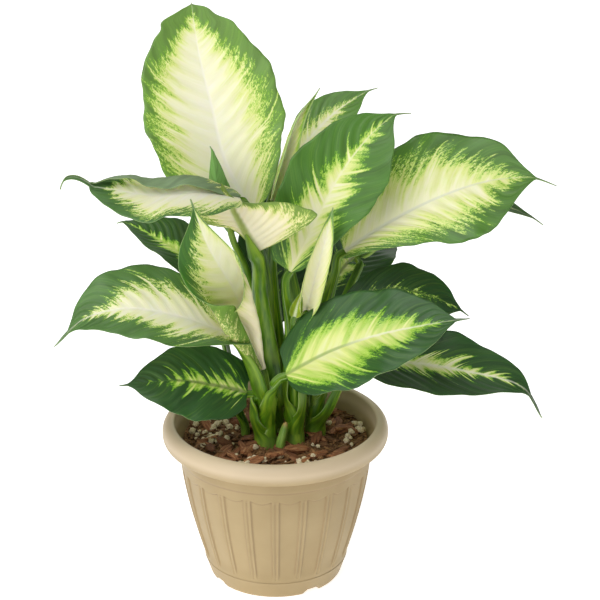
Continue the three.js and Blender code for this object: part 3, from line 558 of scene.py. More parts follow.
def half_section(leaf, u, hand, reach):
    """Across and up, as shares of the half-width, of one half's folded and curled section."""
    start, stop = leaf.roll[hand]
    opened = smoothstep(u, *leaf.unroll[hand]) if leaf.unroll else u
    bend = np.radians(lerp(*leaf.curl[hand], opened))[:, None]
    s = np.linspace(0, 1, 101)
    angle = np.radians(lerp(*leaf.fold, u))[:, None] + bend * np.clip((s - start) / (stop - start), 0, 1)
    place = reach / s[1]
    below = np.minimum(place.astype(int), len(s) - 2)
    shares = []
    for slope in (np.cos(angle), np.sin(angle)):
        steps = (slope[:, 1:] + slope[:, :-1]) / 2 * s[1]
        total = np.pad(np.cumsum(steps, axis=1), ((0, 0), (1, 0)))
        shares.append(lerp(total[:, below], total[:, below + 1], place - below))
    return shares


def edge_wave(leaf, u, hand):
    """Slow and quick swells of the outline, different on each half."""
    phase = 7 * leaf.wave[2] + 2.1 * hand
    turn = 2 * np.pi * u[:, None]
    slow = 0.026 * np.sin(4.3 * turn + phase) + 0.006 * np.sin(BLADE.side_veins * turn + 2 * phase)
    lobes = leaf.lobes * smoothstep(u, 0.82, 0.94)[:, None] * np.sin(9 * turn + 2.5 * hand)
    return 1 + slow + lobes


def ripple(leaf, u, v):
    """The margin's waves: the solid's own, and smaller ones that are about twice as close."""
    height, count, phase = leaf.wave
    reach = np.abs(v)
    turn = 2 * np.pi * (count * u[:, None] + phase + BLADE.wave_shift * (v > 0))
    fade = np.sin(np.pi * np.minimum(u * 1.1, 1))[:, None]
    return height * fade * (reach**1.5 * np.sin(turn) + 0.4 * reach**3 * np.sin(2.3 * turn + 1))


def vein_root(u, v):
    """Where the side vein through a point leaves the midrib: the veins lean towards the tip."""
    reach = np.abs(v)
    lean = BLADE.vein_lean * (1 - 0.35 * u[:, None])
    return u[:, None] - lean * (0.55 * reach + 0.45 * reach**2)


def corrugation(leaf, u, v):
    """Shallow furrows along the side veins."""
    fade = np.sin(np.pi * u)[:, None] * np.sin(np.pi * np.abs(v) ** 0.7)
    size = min(max(leaf.half) / 30, 1)
    return BLADE.corrugation * size * fade * np.cos(2 * np.pi * BLADE.side_veins * vein_root(u, v))


def blade_values(leaf, u, v, width, seed):
    """What the blade's shader reads: its place, its place along the veins, and how pale it is."""
    along, reach, hand = np.broadcast_arrays(u[:, None], np.abs(v), v > 0)
    off_rib = reach * width
    shift = np.where(hand, *leaf.pale_shift[::-1]) - leaf.dark_base * (1 - smoothstep(along, 0, 0.2))
    pale = []
    for share, end, power in (leaf.cream, leaf.under_cream or leaf.cream):
        pale_edge = share * (1 - (along / end) ** power)
        pale.append(pale_edge + shift - reach)
    place = np.stack([along, reach, off_rib], axis=-1)
    vein = np.stack([vein_root(u, v) * blade_length(leaf), off_rib * 1.15, seed + 31.7 * hand], axis=-1)
    return place.reshape(-1, 3), vein.reshape(-1, 3), np.ravel(pale)


def blade_length(leaf):
    return run_along(catmull(leaf.spine, np.linspace(0, 1, 60)))[-1]


def blade_piece(name, leaf, seed, materials):
    """Upper face, underside with its midrib, and a thin rim, as one closed mesh."""
    u = np.linspace(0, 1, BLADE.rows)
    half = np.linspace(0, 1, BLADE.half_columns + 1) ** 1.25
    v = np.concatenate([-half[:0:-1], half])
    grid, normal, width = blade_sheet(leaf, u, v)
    reach = np.abs(v)
    thick = lerp(BLADE.thickness, BLADE.rim_thickness, reach**2) / 2
    size = min(max(leaf.half) / 25, 1)
    rib_height, rib_half = (lerp(*ends, u)[:, None] * size for ends in (BLADE.rib_height, BLADE.rib_half))
    rib = rib_height * bell(reach * width, 0, rib_half)
    points = np.stack([grid + normal * thick[:, None], grid - normal * (thick + rib)[:, :, None]])

    rows, columns = len(u), len(v)
    number = np.arange(rows * columns).reshape(rows, columns)
    border = np.concatenate([number[:-1, 0], number[-1, :-1], number[:0:-1, -1], number[0, ::-1]])
    opposite = border + number.size
    top_faces = grid_faces(rows, columns)
    under_faces = grid_faces(rows, columns, number.size, flip=True)
    rim_faces = np.stack([border[:-1], border[1:], opposite[1:], opposite[:-1]], axis=1)
    slots = np.repeat([0, 1, 2], [len(top_faces), len(under_faces), len(rim_faces)])

    place, vein, pale = blade_values(leaf, u, v, width, seed)
    values = {"place": np.tile(place, (2, 1)), "vein": np.tile(vein, (2, 1)), "pale": pale}
    flat = np.stack([place[:, 0], np.tile((v + 1) / 2, rows) / 2], axis=1)
    return make_piece(name, points.reshape(-1, 3), np.vstack([top_faces, under_faces, rim_faces]), materials,
                      values, face_slots=slots, uv=np.vstack([flat, flat + (0, 0.5)]))


# Leaf materials

UPPER = {
    "white": (246, 243, 226), "cream": (240, 239, 196), "straw": (222, 230, 142), "lime": (164, 204, 70),
    "grass": (92, 158, 26), "rough": 0.42, "relief": 0.25,
}
UNDER = {
    "white": (250, 242, 216), "cream": (247, 238, 196), "straw": (228, 228, 150), "lime": (176, 198, 80),
    "grass": (122, 162, 56), "rough": 0.55, "relief": 0.4,
}
UNDER_HAZE = (52, 58, 44)
DEEP_GREEN = (0, 0.01, 0, 1)
BLACK = (0, 0, 0, 1)
RIB_TONES = {"grey": (214, 216, 196), "olive": (150, 168, 66)}

# Noises over a blade: their pace along and across the veins, where they start, detail and roughness
BLADE_NOISE = {
    "fingers": ((0.12, 0.02, 1), (0, 0, 0), 1, 0.5),
    "thin_fingers": ((0.3, 0.08, 1), (3, 0, 0), 1, 0.5),
    "spikes": ((0.38, 0.035, 1), (6, 2, 0), 1, 0.5),
    "flecks": ((0.58, 0.58, 1), (9, 4, 0), 5, 0.85),
    "pale_streaks": ((0.45, 0.05, 1), (1, 7, 0), 3, 0.5),
    "green_streaks": ((0.6, 0.04, 1), (2, 5, 0), 3, 0.5),
    "shadow": ((0.1, 0.03, 1), (7, 1, 0), 2, 0.5),
    "ridges": ((1.4, 0.05, 1), (0, 0, 0), 2, 0.5),
    "pores": ((4, 4, 1), (0, 0, 0), 2, 0.5),
    "gloss": ((0.06, 0.03, 1), (5, 5, 0), 2, 0.5),
}


def blade_noise(s, name, size=1.0):
    scale, shift, detail, roughness = BLADE_NOISE[name]
    return s.noise(s.stretched(s.attribute("vein"), scale, shift), size, detail, roughness)


def vein_wave(s, leaf):
    """1 along each side vein and -1 halfway between two."""
    turn = s.times(s.parts(s.attribute("vein"))[0], 2 * math.pi * BLADE.side_veins / blade_length(leaf))
    return s.times(s.calc("COSINE", turn), -1.0)


def pattern_field(s, leaf):
    """Above 0 where the blade is pale: fingers along the side veins, and a band of fine flecks at 0."""
    wave = vein_wave(s, leaf)
    field = s.calc("MULTIPLY_ADD", wave, leaf.comb, s.attribute("pale", "Fac"))
    field = s.swung(blade_noise(s, "fingers", leaf.coarse), 1.1 * leaf.fingers, field)
    field = s.swung(blade_noise(s, "thin_fingers", leaf.coarse), 1.2 * leaf.fingers, field)
    spikes = s.span(blade_noise(s, "spikes", leaf.coarse), 0.55, 0.75)
    field = s.calc("MULTIPLY_ADD", spikes, 0.55 * leaf.fingers, field)
    band = s.times(s.span(field, -0.24, -0.04), s.span(field, 0.06, 0.32, 1.0, 0.08))
    speck = s.swung(blade_noise(s, "flecks"), s.times(band, 2.4 * leaf.flecks), field)
    inner = s.span(field, 0.0, 0.3)
    speck = s.calc("MULTIPLY_ADD", s.times(wave, inner), 0.04, speck)
    return field, s.swung(blade_noise(s, "pale_streaks"), s.times(inner, 0.4), speck)


def variegation(s, speck, shade, margin, lime):
    """Green margin, grass and lime fringe, straw, cream and white, as far as the lime reaches."""
    low, high = -0.15, 0.5 + 0.7 * lime
    stops = [
        (-0.06, margin),
        (0.0, mixed(shade["grass"], margin, 0.15)),
        (0.03 + 0.04 * lime, shade["lime"]),
        (0.08 + 0.14 * lime, shade["straw"]),
        (0.14 + 0.32 * lime, shade["cream"]),
        (high, shade["white"]),
    ]
    share = s.span(speck, low, high, smooth=False)
    return s.ramp(share, [((value - low) / (high - low), tone) for value, tone in stops])


def leaf_face(name, leaf, palette, green):
    """One face of a blade: its variegation, streaks and shadows in the green, and the midrib."""
    s = Surface(name, palette["rough"], 0.4)
    field, speck = pattern_field(s, leaf)
    shade = {key: colour(*palette[key]) for key in ("white", "cream", "straw", "lime", "grass")}
    margin = colour(*green)
    base = variegation(s, speck, shade, margin, leaf.lime)
    outer = s.span(field, -0.12, 0.05, 1.0, 0.0)
    streak = blade_noise(s, "green_streaks")
    margin_tones = [
        (streak, (0.48, 0.8, 0.0, 0.4), mixed(margin, shade["lime"], 0.35)),
        (streak, (0.25, 0.5, 0.25, 0.0), mixed(margin, DEEP_GREEN, 0.5)),
        (blade_noise(s, "shadow"), (0.42, 0.7, 0.0, 0.5), mixed(margin, BLACK, 0.55)),
    ]
    for texture, ends, tone in margin_tones:
        base = s.mix(s.times(outer, s.span(texture, *ends)), base, tone)
    s.set("Base Color", midrib(s, base, leaf, shade, margin))
    relief = s.calc("MULTIPLY_ADD", blade_noise(s, "pores"), 0.25, blade_noise(s, "ridges"))
    s.bump(relief, palette["relief"], 0.0004)
    dull = s.span(blade_noise(s, "gloss"), 0.2, 0.8, palette["rough"] - 0.06, palette["rough"] + 0.1)
    s.set("Roughness", dull)
    s.translucent(0.12, 0.0015)
    return s.material


def midrib(s, base, leaf, shade, margin):
    """A soft pale rib that thins towards the tip, or a green one on the darker leaves."""
    u, _, off_rib = s.parts(s.attribute("place"))
    half = s.span(u, 0.0, 0.95, *leaf.rib_half, smooth=False)
    share = s.span(s.calc("DIVIDE", off_rib, half), 0.3, 1.3, 1.0, 0.0)
    strength = s.span(u, 0.6, 0.95, 0.9 if leaf.rib == "olive" else 0.6, 0.2)
    tones = {**shade, **{key: colour(*tone) for key, tone in RIB_TONES.items()}, "green": margin}
    if leaf.rib == "striped":
        tone = s.mix(s.span(u, 0.25, 0.5), colour(112, 150, 62), shade["white"])
    else:
        tone = tones[leaf.rib]
    return s.mix(s.times(share, strength), base, tone)


def rim_material():
    """The thin, pale edge of a blade."""
    s = Surface("leaf_rim", 0.45)
    patches = s.noise(s.place(), 90.0)
    s.set("Base Color", s.tones(patches, {0.3: (112, 146, 72), 0.7: (166, 188, 120)}))
    return s.material


def make_leaves():
    rim = rim_material()
    for number, (name, leaf) in enumerate(LEAVES.items()):
        under_green = leaf.under_green or np.array(leaf.green) * 0.75 + UNDER_HAZE
        upper = leaf_face(name + "_upper", leaf, UPPER, leaf.green)
        under = leaf_face(name + "_under", leaf, UNDER, under_green)
        piece = blade_piece("blade_" + name[5:], leaf, 10 + 7.3 * number, [upper, under, rim])
        place_piece(piece, "leaf_" + leaf.kind, name)


# Petioles and sheaths
# t runs along a petiole from the soil at 0 to the blade at 1, and off is 0 on the cane and 1 clear of it

def petiole_path(cane, leaf, start, via):
    """The petiole's middle line from the soil to the blade."""
    base, ahead = catmull(leaf.spine, [0, 0.01])
    tangent = unit(ahead - base)
    end = base - tangent * STEM.gap
    foot = (*np.add(cane, start), SOIL.top + STEM.foot_rise)
    return even_path([foot, *via, end - tangent * STEM.blade_lead, end], 70)


def clasp(path, cane, order):
    """Leads the foot of a petiole down the cane's middle, and gives how far it has come off the cane."""
    split = SOIL.top + 12 + 8 * order
    down = [(*cane, z) for z in np.linspace(SOIL.top - 8, path[0][2] - 1, 8)]
    path = np.vstack([down, path])
    off = smoothstep(path[:, 2], split - 10, split + 16)
    axis = path * (0, 0, 1) + (*cane, 0)
    return lerp(axis, path, off[:, None]), off


def channel_side(path, tangent, t, leaf, cane):
    """Which way the channel faces: the cane's side low down, and the blade's face near the blade."""
    away = unit(path[30] * (1, 1, 0) - (*cane, 0) + (1e-3, 1e-3, 0))
    inward = np.array([0, 0, 1]) * (tangent @ away)[:, None] - away * tangent[:, 2:]
    face = unit(np.array(leaf.face[0], float))
    return square_to(tangent, unit(lerp(inward, face, smoothstep(t, 0.6, 0.95)[:, None])))


def petiole_widths(shoot, radii, order, t, off, thin):
    """Along a petiole: its radius, its section's half-turn, the channel's floor and the sheath's wings."""
    cane = shoot.radius + 0.7 - 0.75 * order
    slim = lerp(*radii, smoothstep(t, *STEM.sheath_span)) * STEM.plump
    radius = lerp(cane, slim, off) * thin
    half_turn = lerp(2.95, 1.75, smoothstep(off, 0, 0.75)) + 0.6 * smoothstep(t, 0.3, 0.62) * (off > 0.99)
    half_turn = np.convolve(np.pad(half_turn, 4, mode="edge"), np.ones(9) / 9, mode="valid")
    floor = radius * lerp(0.72, -0.45, smoothstep(t, 0.12, 0.55))
    wing = STEM.wing * smoothstep(off, 0.4, 1) * (1 - smoothstep(t, 0.55, 0.95))
    return zip(radius, half_turn, floor, wing)


def section(radius, half_turn, floor, wing, edge_count=15, floor_count=11):
    """A crescent with its edges drawn out into wings, then the channel's floor back again."""
    turn = np.linspace(-half_turn, half_turn, edge_count)
    spread = 1 + wing * (turn / half_turn) ** 2
    back = np.stack([radius * np.sin(turn) * spread, radius * np.cos(turn)], axis=1)
    s = np.linspace(1, -1, floor_count + 2)[1:-1]
    edge_x, edge_y = back[-1]
    channel = np.stack([edge_x * s, floor + (edge_y - floor) * s**2], axis=1)
    return np.vstack([back, channel]), np.append(np.abs(turn) / half_turn, np.abs(s))


def petiole_mesh(shoot, petiole, order, seed):
    """Points, faces and shader values of one petiole with its sheath, and with the midrib that it becomes."""
    name, start, via, radii = petiole
    leaf = LEAVES[name]
    path, off = clasp(petiole_path(shoot.cane, leaf, start, via), shoot.cane, order)
    under = catmull(leaf.spine, np.linspace(0.01, STEM.rib_end, 14))
    thin = np.append(np.ones(len(path)), np.linspace(1, 0.15, len(under)))
    off = np.append(off, np.ones(len(under)))
    path = np.vstack([path, under])
    tangent = unit(np.gradient(path, axis=0))
    run = run_along(path)
    t = run / run[-len(under) - 1]
    inward = channel_side(path, tangent, t, leaf, shoot.cane)
    sideways = np.cross(tangent, inward)
    path = path - inward * (smoothstep(t, 0.84, 1) * thin * radii[1] * STEM.plump * 0.9)[:, None]
    rings = []
    for k, widths in enumerate(petiole_widths(shoot, radii, order, t, off, thin)):
        flat, closeness = section(*widths)
        rings.append(path[k] + sideways[k] * flat[:, :1] - inward[k] * flat[:, 1:])
    run, t, closeness = (a.ravel() for a in np.broadcast_arrays(run[:, None], t[:, None], closeness))
    round_turn = np.tile(np.linspace(0, 8, len(rings[0])), len(rings))
    stalk = np.stack([run, closeness, t], axis=1)
    grain = np.stack([round_turn, run, np.full(len(run), seed)], axis=1)
    return *tube(rings, flip=True), stalk, grain


def cane_mesh(shoot):
    """The short ringed cane inside the sheaths."""
    top = SOIL.top
    rings = []
    for z in np.linspace(top - 20, top + 15, 16):
        radius = 0.86 * shoot.radius * (1 - 0.4 * smoothstep(z, top + 6, top + 15)) + 0.25 * np.cos(z * 1.4)
        rings.append(level_ring(radius, z, circle(24)) + (*shoot.cane, 0))
    points, faces = tube(rings)
    return points, faces, points[:, 2:] * (1, 0, 0), points * (1, 1, 0.4)


def make_shoots():
    stem = stem_material()
    for name, shoot in SHOOTS.items():
        meshes = [cane_mesh(shoot)] if shoot.radius > STEM.smallest_cane else []
        lowest_first = sorted(shoot.petioles, key=lambda petiole: LEAVES[petiole[0]].spine[0][2])
        for order, petiole in enumerate(lowest_first):
            seed = 13.7 * order + 0.01 * sum(len(mesh[0]) for mesh in meshes)
            meshes.append(petiole_mesh(shoot, petiole, order, seed))
        points, faces, stalk, grain = joined(meshes)
        values = {"stalk": stalk, "grain": grain}
        place_piece(make_piece(name.replace("shoot", "sheaths"), points, faces, [stem], values), "stem", name)


def stem_material():
    """Green petioles with fine lengthwise streaks, pale sheath edges and a paler foot."""
    s = Surface("petiole", 0.38)
    run, edge, _ = s.parts(s.attribute("stalk"))
    streak = s.grain("grain", (1.6, 0.03, 1), detail=3, roughness=0.6)
    patch = s.grain("grain", (0.25, 0.03, 1), (4, 2, 0))
    green = s.tones(streak, {0.3: (38, 76, 4), 0.5: (84, 130, 12), 0.72: (146, 178, 40)})
    green = s.mix(s.span(patch, 0.5, 0.75, 0.0, 0.55), green, colour(150, 182, 64))
    green = s.mix(s.span(edge, 0.92, 0.985, 0.0, 0.28), green, colour(206, 218, 158))
    s.set("Base Color", s.mix(s.span(run, 0.0, 26.0, 0.45, 0.0), green, colour(168, 190, 104)))
    s.bump(streak, 0.3, 0.0004)
    s.translucent(0.1, 0.002)
    return s.material


def make_sprout():
    """A blunt, fluted young shoot with a brown tip."""
    path = even_path([(*SPROUT.foot, SOIL.top + z) for z in SPROUT.rise] + SPROUT.via, 40)
    tangent = unit(np.gradient(path, axis=0))
    across = unit(np.cross(tangent, (0.3, 1, 0.1)))
    back = np.cross(across, tangent)
    t, turn = np.linspace(0, 1, len(path)), circle(28)
    radius = (SPROUT.radius * np.sqrt(1 - t**7) + 0.05)[:, None] * (1 + 0.07 * np.cos(3 * turn))
    rings = path[:, None]
    for direction, swing in ((across, np.cos(turn)), (back, np.sin(turn))):
        rings = rings + direction[:, None] * (radius * swing)[:, :, None]
    stalk = np.stack(np.broadcast_arrays(t[:, None], turn, 0), axis=-1).reshape(-1, 3)
    piece = make_piece("young_shoot", *tube(rings), [sprout_material()], {"stalk": stalk})
    place_piece(piece, "sprout", "sprout")


def sprout_material():
    s = Surface("young_shoot", 0.4)
    streak = s.noise(s.stretched(s.attribute("stalk"), (3, 2.5, 1)), 2.0, 3.0)
    green = s.tones(streak, {0.3: (84, 128, 36), 0.7: (150, 182, 84)})
    tip = s.span(s.parts(s.attribute("stalk"))[0], 0.9, 0.99, 0.0, 0.9)
    s.set("Base Color", s.mix(tip, green, colour(176, 140, 84)))
    s.bump(streak, 0.3, 0.0004)
    return s.material


# Pot
# off_rib is the angle in degrees from the nearest rib's middle

def wall_radius(z):
    share = 1 - (1 - np.minimum(z / POT.neck_height, 1)) ** POT.wall_bulge
    return lerp(POT.base_radius, POT.neck_radius, share)


def on_wall(extra, *heights):
    """Radius and height of points that stand off the wall's plain surface."""
    return [(wall_radius(z) + extra, z) for z in heights]


def arc(middle, radii, start, stop, count):
    turn = np.linspace(start, stop, count)
    return [(middle[0] + radii[0] * math.cos(a), middle[1] + radii[1] * math.sin(a)) for a in turn]


def pot_profile():
    """Radius and height from the underside's middle, up the outside and down to the floor's middle."""
    inner, ring = POT.base_radius - POT.foot_wall, POT.ring_top
    low, high, top = POT.panel_bottom, POT.panel_top, POT.band_top
    points = [(0, POT.foot_height), (inner - 1, POT.foot_height), (inner - 0.3, 0.8), (inner + 0.3, 0)]
    points += [(POT.base_radius - 0.6, 0), (POT.base_radius, 0.5)]
    points += on_wall(POT.ring_step, 2, 3, 4.2, 6, 8, 10, 12, ring - 0.5)
    points += [(wall_radius(ring) + 0.5, ring - 0.1), (wall_radius(ring) + 0.1, ring + 0.2)]
    heights = [
        np.arange(ring + 0.8, low - 1, 0.6),
        np.arange(low - 1, low + 1.5, 0.35),
        np.arange(low + 3, high - 6, 3),
        np.arange(high - 5, high + 2.6, 0.33),
        np.arange(high + 3.5, top - 0.5, 1),
    ]
    points += on_wall(0, *np.concatenate(heights))
    for extra, rise in ((0.08, 0), (0.5, 0.25), (POT.band_step, 0.7)):
        points.append((wall_radius(top) + extra, top + rise))
    points += on_wall(POT.band_step, 98.5, 101, 103.5) + lip_points()
    points += on_wall(-POT.wall, 104, 100, 90, 80, 70, 55, 40, 25, 12)
    points += [(wall_radius(8) - POT.wall - 0.8, POT.floor_top + 0.6), (wall_radius(8) - 5, POT.floor_top)]
    return np.array(points + [(0, POT.floor_top)])


def lip_points():
    """The hem rounded in below, the round crown and the mouth's soft edge."""
    outer, mouth, edge, hem = POT.lip_radius, POT.mouth_radius, POT.mouth_edge, POT.lip_hem
    low, top, rise = POT.lip_bottom, POT.height, POT.lip_crown_rise
    neck = wall_radius(low) + POT.band_step
    crown_half = outer - mouth - edge
    points = [(neck, low - 0.6), (neck + 0.7, low), (outer - hem - 1.5, low)]
    points += arc((outer - hem, low + hem + 1.5), (hem, hem + 1.5), -math.pi / 2, 0, 9)
    points += arc((outer - crown_half, top - rise), (crown_half, rise), 0, math.pi / 2, 14)[1:]
    points += arc((mouth + edge, top - edge), (edge, edge), math.pi / 2, math.pi, 6)[1:]
    return points + [POT.mouth_foot]


def pot_turns():
    """Angles from the front in degrees, close together on each rib, and how far each is from its rib."""
    near = [0, 0.35, 0.7, 1.05, 1.4, 1.75, 2.05, 2.4, 2.75, 3.6, 4.6, 5.6, 6.6, 7.6]
    offsets = np.array([-d for d in near[:0:-1]] + near)
    turns = [POT.panel_turn + k * PANEL_PITCH + offsets for k in range(POT.panels)]
    return np.concatenate(turns), np.tile(np.abs(offsets), POT.panels)


def panel_top(off_rib):
    """The height of a panel's upper edge, which sags towards the panel's middle."""
    rib = POT.rib_half_turn
    across = np.clip((off_rib - rib) / (PANEL_PITCH / 2 - rib), 0, 1)
    return POT.panel_top + POT.panel_arch - POT.panel_sag * (1 - (1 - across) ** 2)


def pot_relief(z, off_rib):
    """How far the wall's face lies behind its plain surface: sunk panels and a furrow on each rib."""
    rib, low, high, top = POT.rib_half_turn, POT.panel_bottom, POT.panel_top, panel_top(off_rib)
    sunk = POT.panel_sink * smoothstep(off_rib, rib, rib + POT.rib_slope_turn)
    sunk = sunk * window(z, low - 1, low + POT.panel_ramp, top - 0.45, top + 0.35)
    return sunk + POT.furrow * bell(off_rib, 0, 0.75) * window(z, low, low + 1, high - 1, high + 0.5)


def painted_recess_shade(z, off_rib):
    """1 in the narrow recesses, where shade is painted onto the plastic as a darker colour: panel edges,
    furrows, steps and hem.
    """
    rib, low, top = POT.rib_half_turn, POT.panel_bottom, panel_top(off_rib)
    inside = window(z, low, low + POT.panel_ramp, top, top + 0.5)
    edge = bell(off_rib, rib + 0.4, 0.45) * inside
    arch = 1.5 * bell(z, top - 0.3, 0.5) * (off_rib > rib)
    furrow = 0.8 * bell(off_rib, 0, 0.6) * inside
    steps = 1.5 * bell(z, POT.band_top, 0.5) + bell(z, POT.lip_bottom - 0.5, 0.8)
    ring = 0.25 * bell(z, POT.ring_top + 0.3, 0.5)
    return np.clip(edge + arch + furrow + steps + ring, 0, 1.5)


def foot_lift(radius, z, turn):
    """The four gaps with sloped ends between the feet."""
    from_gap = (turn - POT.foot_gap_turn + 45) % 90 - 45
    along = np.abs(np.radians(from_gap)) * POT.base_radius
    share = np.clip((POT.foot_gap_half - along) / (POT.foot_gap_half - POT.foot_gap_top_half), 0, 1)
    foot = (z < POT.foot_gap_top) & (radius > POT.base_radius - POT.foot_wall - 2)
    return np.where(foot, np.maximum(z, share * POT.foot_gap_top), z)


def make_pot():
    profile = pot_profile()
    turns, off_rib = pot_turns()
    sides = profile[1:-1]
    radius, height, turn, off_rib = np.broadcast_arrays(sides[:, :1], sides[:, 1:], turns, off_rib)
    outside = radius > wall_radius(height) - POT.wall / 2
    reach = radius - pot_relief(height, off_rib) * outside
    # Painted shade: how much darker the outside is coloured in its recesses.
    recess_shade = painted_recess_shade(height, off_rib) * outside
    angle = np.radians(turn)
    lifted = foot_lift(radius, height, turn)
    rings = np.stack([reach * np.sin(angle), -reach * np.cos(angle), lifted], axis=-1)
    middles = profile[[0, -1]] @ [[0, 0, 0], [0, 0, 1]]
    number = np.arange(radius.size).reshape(radius.shape)
    first, last = number[0], number[-1]
    faces = [*grid_faces(*radius.shape, closed=True)]
    faces += zip([number.size] * len(first), np.roll(first, -1), first)
    faces += zip([number.size + 1] * len(last), last, np.roll(last, -1))
    points = np.vstack([rings.reshape(-1, 3), middles])
    piece = make_piece("pot_shell", points, faces, [pot_material()], {"shade_in_recesses": np.append(recess_shade, (0, 0))})
    place_piece(piece, "pot_plastic", "pot")


def pot_material():
    """Beige moulded plastic: slight mottling, a fine grain, a lip painted paler as a highlight, and painted
    shade in the recesses.
    """
    s = Surface("beige_plastic", 0.5, 0.4)
    place = s.place()
    smear = s.noise(s.stretched(place, (30, 30, 6)), 1.0, 3.0)
    base = s.tones(s.noise(place, 26.0, 3.0), {0.3: (166, 144, 102), 0.7: (177, 155, 113)})
    base = s.mix(s.span(smear, 0.5, 0.8, 0.0, 0.25), base, colour(166, 138, 98))
    # Painted highlight: the lip is coloured paler than the wall.
    base = s.mix(s.span(s.parts(place)[2], 0.108, 0.116, 0.0, 0.6), base, colour(230, 211, 182))
    # Painted shade: the recesses are coloured darker.
    base = s.mix(s.times(s.attribute("shade_in_recesses", "Fac"), 0.4), base, colour(138, 110, 74))
    s.set("Base Color", base)
    s.set("Roughness", s.span(smear, 0.25, 0.75, 0.42, 0.58))
    s.bump(s.noise(place, 900.0), 0.12, 0.0002)
    return s.material


# Potting mix

# Bark, by piece: count, how far out it lies, lengths, widths and heights, the share of its height that
# is sunk, the greatest tilt, and its material's name with the dark, middle and light tone
BARK = {
    "bark_large": (64, 60, (12, 24), (5, 9), (2.4, 4.6), 0.25, 0.4,
                   "red_bark", (96, 58, 36), (160, 106, 68), (208, 160, 114)),
    "bark_small": (150, 64, (5, 12), (2.6, 5.5), (1.6, 3.2), 0.3, 0.5,
                   "brown_bark", (78, 52, 30), (142, 100, 62), (196, 152, 106)),
    "bark_crumbs": (700, 65, (1.4, 4), (1.0, 2.4), (0.9, 2), 0.25, 0.7,
                    "crumbs", (70, 46, 26), (128, 90, 54), (178, 136, 92)),
    "twigs": (26, 58, (12, 24), (0.9, 1.8), (0.8, 1.6), 0.1, 0.2,
              "twigs", (92, 62, 38), (150, 112, 74), (196, 162, 116)),
}
# Perlite, with the middles and spreads of its heaps
PERLITE = SimpleNamespace(
    count=130, reach=66, size=(0.8, 3), sink=0.1, tilt=1.0,
    heaps=[(-33, 14, 9), (-46, -2, 7), (58, 12, 8), (-14, -44, 6), (26, -46, 8)],
)
BIT_SIDES = 8
BIT_RINGS = 6


def soil_height(x, y):
    out = (x * x + y * y) / POT.neck_radius**2
    unevenness = np.sin(x * 0.23 + 1.3) * np.cos(y * 0.19) + 0.6 * np.sin(x * 0.41 - y * 0.37)
    rim = SOIL.rim_rise * smoothstep(out, 0.3, 0.85)
    return SOIL.top + rim + (SOIL.crown + SOIL.bump * unevenness) * (1 - out)


def bed_radius(z):
    return wall_radius(z) - POT.wall - SOIL.wall_gap


def make_soil(random):
    """The bed's uneven top, which is a sum of small waves, and its plain walls in the pot."""
    waves = [(*random.uniform(-1.6, 1.6, 2), random.uniform(0, 6.3), random.uniform(0.1, 0.32))
             for _ in range(16)]
    turn = circle(160)
    share = np.linspace(1, 0.02, 44)[:, None]
    x, y = bed_radius(SOIL.top) * share * np.cos(turn), bed_radius(SOIL.top) * share * np.sin(turn)
    rough = sum(size * np.sin(kx * x + ky * y + phase) for kx, ky, phase, size in waves)
    z = soil_height(x, y) + rough * smoothstep(1 - share, 0, 0.05) - 0.8
    walls = [level_ring(bed_radius(height), height, turn) for height in (8.2, 30, 60, 90)]
    piece = make_piece("mix_bed", *tube([*walls, *np.stack([x, y, z], axis=-1)]), [soil_material()])
    place_piece(piece, "potting_mix", "potting_mix")


def scattered_spots(random, count, reach, heaps=()):
    """Places on the bed that keep clear of the stems; two in three lie in heaps, if there are any."""
    spots = []
    feet = [(shoot.cane, shoot.radius + 1.5) for shoot in SHOOTS.values()]
    feet.append((SPROUT.foot, SPROUT.radius + 1))
    while len(spots) < count:
        radius = reach * math.sqrt(random.random())
        turn = random.uniform(0, 2 * math.pi)
        x, y = radius * math.cos(turn), radius * math.sin(turn)
        if heaps and len(spots) % 3:
            x, y, spread = heaps[random.integers(len(heaps))]
            x, y = x + random.normal(0, spread), y + random.normal(0, spread)
        on_stem = any(math.hypot(x - foot[0], y - foot[1]) <= clear for foot, clear in feet)
        if math.hypot(x, y) < reach and not on_stem:
            spots.append((x, y, float(soil_height(x, y))))
    return np.array(spots)


def turned(points, yaw, pitch, roll):
    cy, sy, cp, sp, cr, sr = (f(a) for a in (yaw, pitch, roll) for f in (math.cos, math.sin))
    spin = np.array([[cy, -sy, 0], [sy, cy, 0], [0, 0, 1]])
    tip = np.array([[cp, 0, sp], [0, 1, 0], [-sp, 0, cp]])
    bank = np.array([[1, 0, 0], [0, cr, -sr], [0, sr, cr]])
    return points @ (spin @ tip @ bank).T


def chip_shape(random, length, width, height):
    """A split piece of bark: a few ragged sections along its length."""
    turn = circle(BIT_SIDES) + 0.35
    rings = []
    for s in np.linspace(-1, 1, BIT_RINGS):
        flat = np.stack([np.cos(turn) * width / 2, np.sin(turn) * height / 2], axis=1)
        squash = np.sign(flat) * np.abs(flat) ** 0.75 * (np.array([width, height]) / 2) ** 0.25
        squash = squash * (1 - 0.55 * abs(s) ** 3) * random.uniform(0.72, 1.12, (BIT_SIDES, 1))
        along = (s / 2 + random.uniform(-0.09, 0.09, BIT_SIDES)) * length
        rings.append(np.column_stack([along, squash]))
    return tube(rings)


def pebble_shape(random, size):
    """A small uneven bead."""
    rings = []
    for k in range(BIT_RINGS):
        rise = -math.cos(math.pi * (k + 0.5) / BIT_RINGS)
        radius = math.sqrt(1 - rise * rise) * random.uniform(0.65, 1.2, BIT_SIDES)
        rings.append(level_ring(radius, rise * 0.85, circle(BIT_SIDES)) * size)
    return tube(rings)


